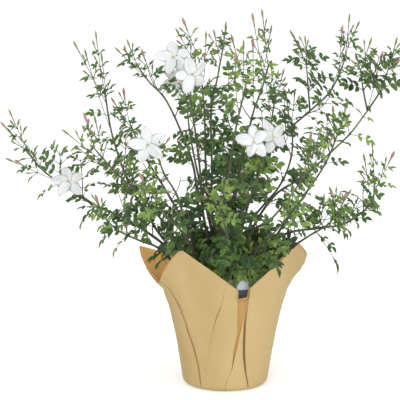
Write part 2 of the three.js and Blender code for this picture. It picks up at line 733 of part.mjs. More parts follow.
const part = new THREE.Group();
function addNode(name, solid, material) {
  const mesh = new THREE.Mesh(geometryOf(solid), material);
  mesh.name = name;
  part.add(mesh);
}
for (const [name, [solid, material]] of Object.entries(holders)) addNode(name, solid, material);
for (const { name, solid } of plants) addNode(name, solid, MATERIALS.leaf);
for (const { name, solid } of blooms) addNode(name, solid, MATERIALS.petal);

export default part;
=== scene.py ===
import json
import math

import bmesh
import bpy
from mathutils import Matrix, Vector, kdtree, noise

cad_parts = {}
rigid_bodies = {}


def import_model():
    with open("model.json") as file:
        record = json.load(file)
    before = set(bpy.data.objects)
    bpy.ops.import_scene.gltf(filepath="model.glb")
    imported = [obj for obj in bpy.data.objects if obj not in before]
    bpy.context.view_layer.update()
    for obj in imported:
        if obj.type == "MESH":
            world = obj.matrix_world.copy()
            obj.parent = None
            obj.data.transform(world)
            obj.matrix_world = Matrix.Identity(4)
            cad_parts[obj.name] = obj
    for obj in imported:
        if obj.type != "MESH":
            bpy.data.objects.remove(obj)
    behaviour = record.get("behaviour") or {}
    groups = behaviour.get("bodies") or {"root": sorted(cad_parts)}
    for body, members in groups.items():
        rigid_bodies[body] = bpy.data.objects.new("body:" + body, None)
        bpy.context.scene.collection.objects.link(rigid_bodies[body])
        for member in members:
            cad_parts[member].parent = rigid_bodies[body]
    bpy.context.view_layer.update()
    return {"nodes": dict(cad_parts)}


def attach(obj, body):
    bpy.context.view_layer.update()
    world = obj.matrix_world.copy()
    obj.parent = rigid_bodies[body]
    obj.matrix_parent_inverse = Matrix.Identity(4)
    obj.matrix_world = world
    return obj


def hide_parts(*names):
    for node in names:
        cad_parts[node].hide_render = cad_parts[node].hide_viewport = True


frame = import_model()

# ---------- Paper cover ----------
# One square sheet of brown kraft paper, pushed up round the pot so that its four corners stand out on top.
# The spare paper lies in pleats, each lapped over the next, and it is open in a narrow slit at the front.
# Its smoother inside shows at the corners, painted brighter and warmer there for the light that comes through
# the paper, and painted darker in the slit for its shade. It holds itself in shape and isn't glued.
MM = 0.001
PAPER_THICK = 0.6
WALL = [(0, 46), (4, 51.5), (22, 54.2), (53, 59.2), (77, 64.2), (98, 69.4), (116, 76)]  # height, outer radius
WALL_EASE = (-9, -6, -3, 0, 3, 6, 9)  # heights over which the wall's bends are eased
FOOT_ROUND, FOOT_TUCK, FOOT_EASE = 6, 5.5, 8  # height and depth of the foot's rounding, and where pleats rise
FOLD_HEIGHT, EDGE_HEIGHT = 116, 131  # where the paper turns out, and the lowest part of its edge
EDGE_FLARE = 1.12
# Corners and notches of the top edge: angle, height, radius.
TOP_EDGE = [
    (8, 136, 92), (62, 172, 104), (112, 128, 82), (166, 162, 108), (203, 128, 87), (238, 181, 100),
    (279, 131, 81), (288, 132, 81), (322, 184, 106),
]
INNER_LAYER = -1.5
INNER_LAYER_DROP = 10.5  # the layer inside the slit ends this far below the edge
LAP = 1.1
BACK_PLEATS = [(20, 6), (52, 38), (88, 84), (122, 118), (160, 148)]  # angles at the foot and at the fold
PLEAT = {"before": 0, "after": LAP, "tuck": 1.6, "width": 1.1, "crease_shade": 0.5}
# The slit at the front: how far its paper stands out at rising heights, on its left and on its right.
SLIT_DEPTH = [(0, 0.3), (24, 0.1), (38, INNER_LAYER)]
SLOPE = [(0, 0.2), (84, -0.4), (105, INNER_LAYER)]
# Each fold: its angle at rising heights, how far the paper stands out before and after it, how deep and over
# how many degrees the paper before it is tucked in under the next, and how dark its crease is painted as
# shade.
# At a fold marked over, the paper before it lies on top instead. The paper next to one marked inner shows its
# inside, painted darker there for the shade of the slit.
FOLDS = [{"angle": [(0, foot), (FOLD_HEIGHT, top)], **PLEAT} for foot, top in BACK_PLEATS] + [
    {"angle": [(0, 190), (116, 186)], **PLEAT, "tuck": 1.2},
    {
        "angle": [
            (0, 235), (9, 234), (27, 233.4), (51, 229.4), (76, 223.4), (88, 221.8), (103, 219.3),
            (112, 215.8), (131, 205),
        ],
        "before": LAP, "after": 0, "over": True, "width": 1.2,
        "tuck": [(0, 0.3), (14, 0.9), (60, 1.2), (116, 1.2), (131, 0.4)],
        "crease_shade": [(0, 0.1), (12, 0.35), (50, 0.5), (76, 0.5), (86, 0.15), (97, 0.5), (108, 0.4), (124, 0)],
    },
    {
        "angle": [(0, 241), (13, 243), (44, 249.2), (76, 255.2), (93, 259.7), (108, 264.3), (131, 270)],
        "before": 0.1, "after": 0.4, "width": 1.0,
        "tuck": [(0, 0), (30, 0.1), (80, 0.35), (104, 0.8), (112, 0.4), (131, 0)],
        "crease_shade": [(0, 0), (40, 0.02), (80, 0.1), (93, 0.5), (104, 0.5), (112, 0.05)],
    },
    {
        "angle": [
            (0, 267.9), (9, 268.9), (19, 272.6), (30, 277), (40, 277.6), (53, 278.5), (64, 280),
            (77, 281.6), (90, 280.8), (131, 279.3),
        ],
        "before": 0.5, "after": SLIT_DEPTH, "inner": True, "width": 0, "tuck": 0,
        "crease_shade": [(0, 0.1), (26, 0.2), (38, 0.5)],
    },
    {
        "angle": [
            (0, 268.6), (9, 269.6), (19, 273.3), (30, 277.7), (40, 279), (56, 282.2), (77, 285),
            (94, 286.8), (104, 288.2), (131, 288.5),
        ],
        "before": SLIT_DEPTH, "after": SLOPE, "width": 0, "tuck": 0,
        "crease_shade": [(0, 0.1), (26, 0.15), (36, 0.5), (60, 0)],
    },
    {
        "angle": [(0, 302), (10, 299.5), (24, 295.4), (44, 292.3), (64, 290.9), (92, 289.6), (131, 289.2)],
        "before": SLOPE, "after": 1.6,
        "width": [(0, 0.8), (24, 1), (36, 2.2), (60, 2.8), (86, 2.0), (104, 0.6)],
        "tuck": [(0, 0.3), (20, 2.0), (40, 3.2), (86, 2.4), (104, 0)],
        "crease_shade": [(0, 0.5), (60, 0.5), (92, 0.3), (110, 0.05)],
    },
    {
        "angle": [(0, 337), (60, 338.5), (116, 341), (131, 343)],
        "before": 1.2, "after": 0, "width": 0, "tuck": 0, "crease_shade": 0.2,
    },
]
FOLD_STEP = 0.35  # degrees across a fold's edge
COLUMN_STEP, COLUMN_GAP = 1.3, 0.1  # degrees
COLUMNS_SPACED_AT = 60  # height
# Rows of points up the cover: shares of its foot, then steps of its wall and of its turned-out edge.
FOOT_ROWS, WALL_ROWS, EDGE_ROWS = (0, 0.006, 0.018, 0.035, 0.055), 30, 14
# Crumples of the paper: how far each moves it, how often it waves round, over what height, and its shift.
CRUMPLES = [(0.9, 2.2, 70, 0), (0.45, 7, 22, 9)]
RIDGE, RIDGE_WAVES = 0.5, (11, 9, 31)
CRUMPLED_FROM = 30  # height from which they are whole
# Small crumples beside the slit: how far they move the paper, their waves, and where they lie.
PINCH, PINCH_WAVES = 0.9, (5, 2.6)
PINCH_ANGLE, PINCH_HEIGHT, PINCH_WIDE, PINCH_TALL = 285, 42, 6, 15


def reading(pairs, x):
    """The value at x of a list of (x, value) pairs, in straight runs and level beyond its ends."""
    if not isinstance(pairs, list):
        return pairs
    if x <= pairs[0][0]:
        return pairs[0][1]
    for (x0, y0), (x1, y1) in zip(pairs, pairs[1:]):
        if x <= x1:
            return y0 + (y1 - y0) * (x - x0) / (x1 - x0)
    return pairs[-1][1]


def top_edge(angle):
    """The height and radius of the cover's top edge at an angle."""
    (a0, z0, r0), (a1, z1, r1) = TOP_EDGE[0], TOP_EDGE[-1]
    closed = [(a1 - 360, z1, r1)] + TOP_EDGE + [(a0 + 360, z0, r0)]
    return [reading([(corner[0], corner[k]) for corner in closed], angle % 360) for k in (1, 2)]


def soft_wall(z):
    """The wall's radius, with its bends eased over a few millimetres."""
    return sum(reading(WALL, max(z + d, WALL[1][0])) for d in WALL_EASE) / len(WALL_EASE)


def waves(x, y, z, around, tall, shift=0):
    """Noise that waves so often round a circle, and over such a height."""
    return noise.noise(Vector((around * x, around * y, z / tall + shift)))


def cover_columns():
    """Upright lines of the wall: the folds beside each, its share of the way between, and its tuck."""
    columns = []
    for fold, after in zip(FOLDS, FOLDS[1:] + [FOLDS[0]]):
        turn = 360 if after is FOLDS[0] else 0
        first, last = (reading(side["angle"], COLUMNS_SPACED_AT) for side in (fold, after))
        count = max(1, round((last + turn - first) / COLUMN_STEP))
        if fold.get("over"):
            columns += [(fold, after, turn, 0, tucked) for tucked in (-1, -0.5)]
        columns += [(fold, after, turn, k / count, 0) for k in range(count + 1)]
        if not after.get("over"):
            columns += [(fold, after, turn, 1, tucked) for tucked in (0.5, 1)]
    return columns


def column_angle(column, mark):
    fold, after, turn, share, tucked = column
    first, last = reading(fold["angle"], mark) + FOLD_STEP, reading(after["angle"], mark) + turn
    start = first + (reading(fold["width"], mark) if fold.get("over") else 0)
    hidden = 0 if after.get("over") else reading(after["width"], mark) + COLUMN_GAP
    stop = max(last - hidden, start + COLUMN_GAP)
    return start + (stop - start) * share + (last - stop if tucked > 0 else start - first) * tucked


def cover_point(column, row):
    """A point of the outer face, and how dark the painted shade in its crease is.

    Rows 0 to 1 climb the wall, and rows 1 to 2 climb the turned-out edge.
    """
    fold, after, _, share, tucked = column
    height = FOLD_HEIGHT * min(row, 1)
    t = max(row - 1, 0)
    mark = height + (EDGE_HEIGHT - FOLD_HEIGHT) * t
    angle = column_angle(column, mark)
    hinge = after if tucked > 0 else fold
    out_start, out_end = reading(fold["after"], height), reading(after["before"], height)
    out = out_start + (out_end - out_start) * share - reading(hinge["tuck"], mark) * tucked ** 2
    radius = soft_wall(height)
    if row <= 1:
        z = height
        foot = min(height / FOOT_ROUND, 1)
        radius += out * min(height / FOOT_EASE, 1) - FOOT_TUCK * (1 - math.sqrt(1 - (1 - foot) ** 2))
    else:
        top_z, top_radius = top_edge(angle)
        if fold.get("inner") or after.get("inner") and tucked:
            top_z -= INNER_LAYER_DROP
        z = FOLD_HEIGHT + (top_z - FOLD_HEIGHT) * t
        radius += (top_radius - radius) * t ** EDGE_FLARE + out
    x, y = math.cos(math.radians(angle)), math.sin(math.radians(angle))
    crumpled = sum(depth * waves(x, y, z, *wave) for depth, *wave in CRUMPLES)
    crumpled -= RIDGE * abs(waves(x, y, z, *RIDGE_WAVES))
    aside, above = (angle % 360 - PINCH_ANGLE) / PINCH_WIDE, (z - PINCH_HEIGHT) / PINCH_TALL
    pinched = PINCH * math.exp(-aside ** 2 - above ** 2) * waves(x, y, z, *PINCH_WAVES)
    radius += crumpled * min(z / CRUMPLED_FROM, 1) + pinched
    return Vector((radius * x, radius * y, z)) * MM, reading(hinge["crease_shade"], mark) * tucked ** 2


def linked(made):
    """Puts an object into the scene."""
    bpy.context.scene.collection.objects.link(made)
    return made


def object_of(name, vertices, faces):
    """A new object whose place is in its mesh."""
    mesh = bpy.data.meshes.new(name)
    mesh.from_pydata(vertices, [], faces)
    mesh.update()
    return linked(bpy.data.objects.new(name, mesh))


def stand_in_for(made, slot, *nodes):
    """The piece rides with the plant and stands for its CAD solids, which it hides. Its slot is not used."""
    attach(made, "root")
    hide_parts(*nodes)


def sockets_on(group, way, **kinds):
    """Named sockets of a node group, each given as its kind, or as its kind and its first value."""
    for name, given in kinds.items():
        kind, *first = given if isinstance(given, tuple) else (given,)
        made = group.interface.new_socket(
            name=name.replace("_", " "), in_out=way, socket_type="NodeSocket" + kind)
        if first:
            made.default_value = first[0]


def feed(tree, value, target):
    """Links a socket to another, or sets it to a plain value."""
    if isinstance(value, bpy.types.NodeSocket):
        tree.links.new(value, target)
    else:
        target.default_value = value


def put(tree, kind, settings=None, **inputs):
    """A node in a tree, with its settings, and its inputs given as values or as sockets that feed them."""
    made = tree.nodes.new(kind)
    for key, value in (settings or {}).items():
        setattr(made, key, value)
    for key, value in inputs.items():
        name = key.replace("_", " ")
        feed(tree, value, next(s for s in made.inputs if s.name == name and s.enabled))
    return made


def worked_out(tree, operation, *values, **settings):
    """The result of a Math node."""
    made = put(tree, "ShaderNodeMath", {"operation": operation, **settings})
    for value, target in zip(values, made.inputs):
        feed(tree, value, target)
    return made.outputs[0]


def mixed(tree, factor, a, b):
    """One colour turning into another as the factor goes from 0 to 1."""
    made = put(tree, "ShaderNodeMix", {"data_type": "RGBA"}, Factor=factor)
    for value, target in zip((a, b), made.inputs[6:8]):
        feed(tree, (*value, 1) if isinstance(value, tuple) else value, target)
    return made.outputs[2]


def ends_in(group, **results):
    """Feeds a group's outputs and hands back the group."""
    out = group.nodes.new("NodeGroupOutput")
    for name, value in results.items():
        group.links.new(value, out.inputs[name])
    return group


def mottle_group():
    """Cloudy colour with fine grain on it, and a height for the grain: for paper, soil, leaves and stems."""
    group = bpy.data.node_groups.new("Mottle", "ShaderNodeTree")
    sockets_on(group, "INPUT", Dark="Color", Light="Color", Cloud_Scale=("Float", 20),
               Grain_Scale=("Float", 400), Grain_Amount=("Float", 0.2), Stretch=("Vector", (1, 1, 1)))
    sockets_on(group, "OUTPUT", Colour="Color", Height="Float")
    given = group.nodes.new("NodeGroupInput").outputs
    scaled = put(group, "ShaderNodeVectorMath", {"operation": "MULTIPLY"})
    feed(group, put(group, "ShaderNodeTexCoord").outputs["Object"], scaled.inputs[0])
    feed(group, given["Stretch"], scaled.inputs[1])
    spot = scaled.outputs["Vector"]
    cloud, grain = (put(group, "ShaderNodeTexNoise", Vector=spot, Scale=scale, Detail=detail).outputs["Fac"]
                    for scale, detail in ((given["Cloud Scale"], 3.0), (given["Grain Scale"], 5.0)))
    contrast = put(group, "ShaderNodeMapRange", Value=cloud, From_Min=0.35, From_Max=0.65)
    grainy = worked_out(group, "MULTIPLY", worked_out(group, "SUBTRACT", grain, 0.5), given["Grain Amount"])
    both = worked_out(group, "ADD", contrast.outputs["Result"], grainy, use_clamp=True)
    return ends_in(group, Colour=mixed(group, both, given["Dark"], given["Light"]), Height=grain)


mottle = mottle_group()


def grouped(tree, group, **values):
    """A node group in a material, with its inputs set."""
    made = tree.nodes.new("ShaderNodeGroup")
    made.node_tree = group
    for key, value in values.items():
        made.inputs[key.replace("_", " ")].default_value = value
    return made


def mottled(name, dark, light, roughness, cloud=20, grain=400, amount=0.2, bump=0.1, stretch=(1, 1, 1)):
    """A material coloured by the mottle, with its grain as a fine bump, and its colour and its shader."""
    material = bpy.data.materials.new(name)
    material.use_nodes = True
    tree = material.node_tree
    shader = tree.nodes["Principled BSDF"]
    shader.inputs["Roughness"].default_value = roughness
    look = grouped(tree, mottle, Dark=(*dark, 1), Light=(*light, 1), Cloud_Scale=cloud, Grain_Scale=grain,
                   Grain_Amount=amount, Stretch=stretch)
    colour = look.outputs["Colour"]
    feed(tree, colour, shader.inputs["Base Color"])
    rough = put(tree, "ShaderNodeBump", Strength=bump, Distance=0.0004, Height=look.outputs["Height"])
    feed(tree, rough.outputs["Normal"], shader.inputs["Normal"])
    return material, colour, shader


def kraft_with_crease_shade(name, dark, light, roughness, fold):
    """Kraft paper with stretched fibres, with painted shade darkening the creases of its folds."""
    material, colour, shader = mottled(name, dark, light, roughness, 14, 900, 0.5, 0.28, (1, 1, 0.35))
    tree = material.node_tree
    # This attribute says how much painted shade darkens the paper at each point of a crease.
    line = put(tree, "ShaderNodeAttribute", {"attribute_name": "crease_shade"}).outputs["Fac"]
    crease_shade_share = put(tree, "ShaderNodeMapRange", Value=line, From_Max=0.6).outputs["Result"]
    feed(tree, mixed(tree, crease_shade_share, colour, fold), shader.inputs["Base Color"])
    return material


def see_through(shader, weight, radius, scale):
    """Light that goes into the paper or leaf and comes out near by."""
    shader.inputs["Subsurface Weight"].default_value = weight
    shader.inputs["Subsurface Radius"].default_value = radius
    shader.inputs["Subsurface Scale"].default_value = scale


def smoothed(made, sharp_from):
    """Smooth faces, but for edges that turn more sharply than so many degrees."""
    made.data.shade_smooth()
    made.data.set_sharp_from_angle(angle=math.radians(sharp_from))


def paper_cover():
    columns = cover_columns()
    wall_from = FOOT_ROWS[-1]
    rows = [*FOOT_ROWS] + [wall_from + (1 - wall_from) * (k + 1) / WALL_ROWS for k in range(WALL_ROWS)]
    rows += [1 + (k + 1) / EDGE_ROWS for k in range(EDGE_ROWS)]
    placed = [cover_point(column, row) for column in columns for row in rows]
    vertices = [point for point, _ in placed] + [Vector((0, 0, 0))]
    deep, around, centre = len(rows), len(columns), len(placed)
    faces, inner = [], []
    for i, (fold, after, _, _, tucked) in enumerate(columns):
        a, b = i * deep, (i + 1) % around * deep
        faces += [(a + k, b + k, b + k + 1, a + k + 1) for k in range(deep - 1)]
        # Faces beside the slit's inner fold take the copy of the inside painted darker for shade.
        folded_in = fold.get("inner") or after.get("inner") and tucked == 1
        inner += [int(bool(folded_in))] * (deep - 1)
    faces += [(centre, (i + 1) % around * deep, i * deep) for i in range(around)]
    cover = object_of("paper_cover_folded", vertices, faces)
    # Each point's share of the painted shade in its fold's crease, strongest at the bottom of a tucked
    # groove.
    crease_shade_field = cover.data.attributes.new("crease_shade", "FLOAT", "POINT")
    crease_shade_field.data.foreach_set("value", [dark for _, dark in placed] + [0.0])
    smoothed(cover, 38)
    # Brown colours painted into the creases as shade, for the outer face and for the inner one.
    outside_crease_shade, inside_crease_shade = (0.17, 0.062, 0.014), (0.15, 0.06, 0.02)
    outside = kraft_with_crease_shade("kraft outside", (0.354, 0.251, 0.100), (0.418, 0.308, 0.138), 0.82, outside_crease_shade)
    # Two copies of the paper's inside: the first painted darker for the shade in the slit, the second painted
    # brighter and warmer for light through the paper at the corners.
    layer = kraft_with_crease_shade("kraft layer painted in shade", (0.30, 0.16, 0.038), (0.39, 0.22, 0.058), 0.6, inside_crease_shade)
    inside = kraft_with_crease_shade("kraft inside painted lit", (0.62, 0.40, 0.15), (0.72, 0.50, 0.21), 0.6, inside_crease_shade)
    see_through(inside.node_tree.nodes["Principled BSDF"], 0.7, (1.0, 0.65, 0.5), 0.0045)
    for material in (outside, layer, inside):
        cover.data.materials.append(material)
    for face, side in zip(cover.data.polygons, inner):
        face.material_index = side
    shell = cover.modifiers.new("paper thickness", "SOLIDIFY")
    shell.thickness, shell.offset, shell.material_offset = PAPER_THICK * MM, -1, 2
    stand_in_for(cover, "kraft_paper", "paper_cover")


paper_cover()

# ---------- Nursery pot ----------
# A thin moulded pot of grey-blue plastic inside the paper, painted pale at its broad rim band where the light
# falls on it and painted dark below it for the shade under the rim.
# It is turned from one section, its lip is rounded, and it drains through holes in its floor.
POT_BASE = 1.2
POT_HEIGHT, POT_RIM_HEIGHT, POT_LIP = 141, 14, 1.5
POT_BASE_RADIUS, POT_NECK_RADIUS, POT_RIM_RADIUS = 41.9, 68.5, 72.5
POT_WALL, POT_FLOOR = 1.6, 2
POT_SIDES = 96
DRAINS, DRAIN_RADIUS, DRAIN_CIRCLE, DRAIN_REACH, DRAIN_SIDES = 4, 4, 30, 9, 24


def pot_radius(z):
    slope = (POT_NECK_RADIUS - POT_BASE_RADIUS) / (POT_HEIGHT - POT_RIM_HEIGHT)
    return POT_BASE_RADIUS + slope * (z - POT_BASE)


def turned(name, section, sides):
    """A closed shape turned about Z from (radius, height) points that start and end on the axis."""
    ring = section[1:-1]
    vertices = [Vector((0, 0, section[0][1])) * MM]
    for radius, z in ring:
        for k in range(sides):
            a = 2 * math.pi * k / sides
            vertices.append(Vector((radius * math.cos(a), radius * math.sin(a), z)) * MM)
    vertices.append(Vector((0, 0, section[-1][1])) * MM)
    top, last = 1 + (len(ring) - 1) * sides, len(vertices) - 1
    faces = []
    for k in range(sides):
        n = (k + 1) % sides
        faces.append((0, 1 + n, 1 + k))
        faces += [(a + k, a + n, a + sides + n, a + sides + k) for a in range(1, top, sides)]
        faces.append((top + k, top + n, last))
    return object_of(name, vertices, faces)


def nursery_pot():
    top, neck = POT_BASE + POT_HEIGHT, POT_BASE + POT_HEIGHT - POT_RIM_HEIGHT
    rim, wall = POT_RIM_RADIUS, POT_WALL
    lip = [(rim - 0.5, top - 0.15), (rim - wall / 2, top), (rim - wall + 0.5, top - 0.15)]
    section = [
        (0, POT_BASE), (POT_BASE_RADIUS - 1, POT_BASE), (POT_BASE_RADIUS, POT_BASE + 1),
        (POT_NECK_RADIUS, neck), (rim - 0.3, neck + POT_LIP - 0.3), (rim, neck + POT_LIP + 0.4),
        (rim, top - 0.6), *lip, (rim - wall, top - 0.6), (rim - wall, neck + POT_LIP + wall),
        (POT_NECK_RADIUS - wall, neck), (POT_BASE_RADIUS - wall, POT_BASE + POT_FLOOR),
        (0, POT_BASE + POT_FLOOR),
    ]
    pot = turned("nursery_pot_moulded", section, POT_SIDES)
    pot.data.shade_smooth()
    hole = [(0, -DRAIN_REACH), (DRAIN_RADIUS, -DRAIN_REACH), (DRAIN_RADIUS, DRAIN_REACH), (0, DRAIN_REACH)]
    for k in range(DRAINS):
        a = 2 * math.pi * (k + 0.5) / DRAINS
        drill = turned(f"drill {k}", hole, DRAIN_SIDES)
        drill.data.transform(Matrix.Translation(Vector((math.cos(a), math.sin(a), 0)) * DRAIN_CIRCLE * MM))
        cut = pot.modifiers.new("drain", "BOOLEAN")
        cut.operation, cut.object, cut.solver = "DIFFERENCE", drill, "EXACT"
    solid = bpy.data.meshes.new_from_object(pot.evaluated_get(bpy.context.evaluated_depsgraph_get()))
    pot.modifiers.clear()
    pot.data = solid
    pot.data.set_sharp_from_angle(angle=math.radians(35))
    for k in range(DRAINS):
        bpy.data.objects.remove(bpy.data.objects[f"drill {k}"])
    pot.data.materials.clear()
    # Two copies of one plastic: the rim band painted pale as lit, the wall below painted dark as shaded.
    for name, dark, light, roughness in [
        ("rim plastic painted lit", (0.37, 0.40, 0.43), (0.45, 0.48, 0.50), 0.38),
        ("wall plastic painted in shade", (0.09, 0.098, 0.125), (0.13, 0.14, 0.175), 0.5),
    ]:
        pot.data.materials.append(mottled(name, dark, light, roughness, 30, 1500, 0.2, 0.12)[0])
    # Faces below the rim band take the copy painted dark for the shade under the rim.
    for face in pot.data.polygons:
        face.material_index = int(face.center.z < (neck + POT_LIP) * MM)
    stand_in_for(pot, "pot_plastic", "nursery_pot")


nursery_pot()

# ---------- Potting soil ----------
# Dark peat with crumbs and a few pale grains of perlite, filled to a finger below the rim.
# The crumbs are scattered over its uneven surface by geometry nodes.
SOIL_TOP, SOIL_BOTTOM = 126, POT_BASE + POT_FLOOR + 0.3
SOIL_SIDES, SOIL_RINGS = 72, 14
SOIL_BUMP = 1.5
SOIL_CLEAR, SOIL_CLEAR_BELOW = 0.6, 1.4  # to the pot's wall, at the soil's top and at its foot
CRUMBS = {"seed": 3, "density": 110000, "size": 2.2}  # density per square metre
PERLITE = {"seed": 8, "density": 3300, "size": 1.7}


def draw(seed, n):
    """A repeatable draw from 0 to 1."""
    x = abs(math.sin(seed * 12.9898 + n * 78.233) * 43758.5453)
    return x - math.floor(x)


def rock_of(name, seed):
    """A small lumpy grain for the nodes to scatter, removed once they have."""
    corners = [(1, 0, 0), (-1, 0, 0), (0, 1, 0), (0, -1, 0), (0, 0, 1), (0, 0, -1)]
    vertices = [Vector(c) * (0.75 + 0.5 * draw(seed, k)) for k, c in enumerate(corners)]
    faces = [(0, 2, 4), (2, 1, 4), (1, 3, 4), (3, 0, 4), (2, 0, 5), (1, 2, 5), (3, 1, 5), (0, 3, 5)]
    return object_of(name, vertices, faces)


def on_points(tree, points, shape, material, **more):
    """A shape on each of some points, as one mesh of one material."""
    model = put(tree, "GeometryNodeObjectInfo", Object=shape).outputs["Geometry"]
    placed = put(tree, "GeometryNodeInstanceOnPoints", Points=points, Instance=model, **more)
    real = put(tree, "GeometryNodeRealizeInstances", Geometry=placed.outputs["Instances"])
    return painted(tree, real.outputs["Geometry"], material)


def painted(tree, geometry, material):
    return put(tree, "GeometryNodeSetMaterial", Geometry=geometry, Material=material).outputs["Geometry"]


def crumb_tree():
    tree = bpy.data.node_groups.new("Crumbs", "GeometryNodeTree")
    sockets_on(tree, "INPUT", Geometry="Geometry", Grain="Object", Density="Float", Size="Float",
               Material="Material", Seed="Int")
    sockets_on(tree, "OUTPUT", Geometry="Geometry")
    given = tree.nodes.new("NodeGroupInput").outputs
    up = put(tree, "ShaderNodeSeparateXYZ", Vector=put(tree, "GeometryNodeInputNormal").outputs["Normal"])
    level = put(tree, "FunctionNodeCompare", {"operation": "GREATER_THAN"}, A=up.outputs["Z"], B=0.7)
    spread = put(tree, "GeometryNodeDistributePointsOnFaces", Mesh=given["Geometry"],
                 Selection=level.outputs["Result"], Density=given["Density"], Seed=given["Seed"])
    size = put(tree, "FunctionNodeRandomValue", {"data_type": "FLOAT"}, Min=0.35, Max=1.0, Seed=given["Seed"])
    turn = put(tree, "FunctionNodeRandomValue", {"data_type": "FLOAT_VECTOR"}, Max=(6.3, 6.3, 6.3))
    scaled = worked_out(tree, "MULTIPLY", size.outputs[1], given["Size"])
    grains = on_points(tree, spread.outputs["Points"], given["Grain"], given["Material"],
                       Rotation=turn.outputs[0], Scale=scaled)
    return ends_in(tree, Geometry=grains)


def grown(base, tree, **inputs):
    """The mesh that a node tree makes from an object. Inputs are set by their sockets' identifiers."""
    growth = base.modifiers.new("growth", "NODES")
    growth.node_group = tree
    sockets = {s.name: s.identifier for s in tree.interface.items_tree if s.in_out == "INPUT"}
    for key, value in inputs.items():
        growth[sockets[key.replace("_", " ")]] = value
    base.update_tag()
    mesh = bpy.data.meshes.new_from_object(base.evaluated_get(bpy.context.evaluated_depsgraph_get()))
    base.modifiers.remove(growth)
    return mesh


def potting_soil():
    foot = pot_radius(SOIL_BOTTOM) - POT_WALL - SOIL_CLEAR_BELOW
    edge = pot_radius(SOIL_TOP) - POT_WALL - SOIL_CLEAR
    section = [(0, SOIL_BOTTOM), (foot, SOIL_BOTTOM), (edge, SOIL_TOP - 1)]
    section += [(edge * (1 - k / SOIL_RINGS), SOIL_TOP) for k in range(1, SOIL_RINGS)] + [(0, SOIL_TOP)]
    soil = turned("potting_soil_filled", section, SOIL_SIDES)
    for vertex in soil.data.vertices:
        if vertex.co.z > (SOIL_TOP - 0.5) * MM:
            vertex.co.z += SOIL_BUMP * MM * noise.noise(vertex.co * 90)
    peat, *_ = mottled("damp peat", (0.018, 0.012, 0.008), (0.055, 0.037, 0.024), 0.95, 60, 500, 0.9, 0.6)
    pale, *_ = mottled("perlite", (0.5, 0.48, 0.44), (0.7, 0.68, 0.64), 0.9)
    soil.data.materials.append(peat)
    soil.data.shade_smooth()
    stand_in_for(soil, "soil", "potting_soil")
    tree = crumb_tree()
    for name, grains, finish in [("soil_crumbs", CRUMBS, peat), ("perlite_grains", PERLITE, pale)]:
        seed = grains["seed"]
        grain = rock_of(f"grain {seed}", seed)
        mesh = grown(soil, tree, Grain=grain, Density=grains["density"], Size=grains["size"] * MM,
                     Material=finish, Seed=seed)
        bpy.data.objects.remove(grain)
        stand_in_for(linked(bpy.data.objects.new(name, mesh)), "soil", "potting_soil")


potting_soil()

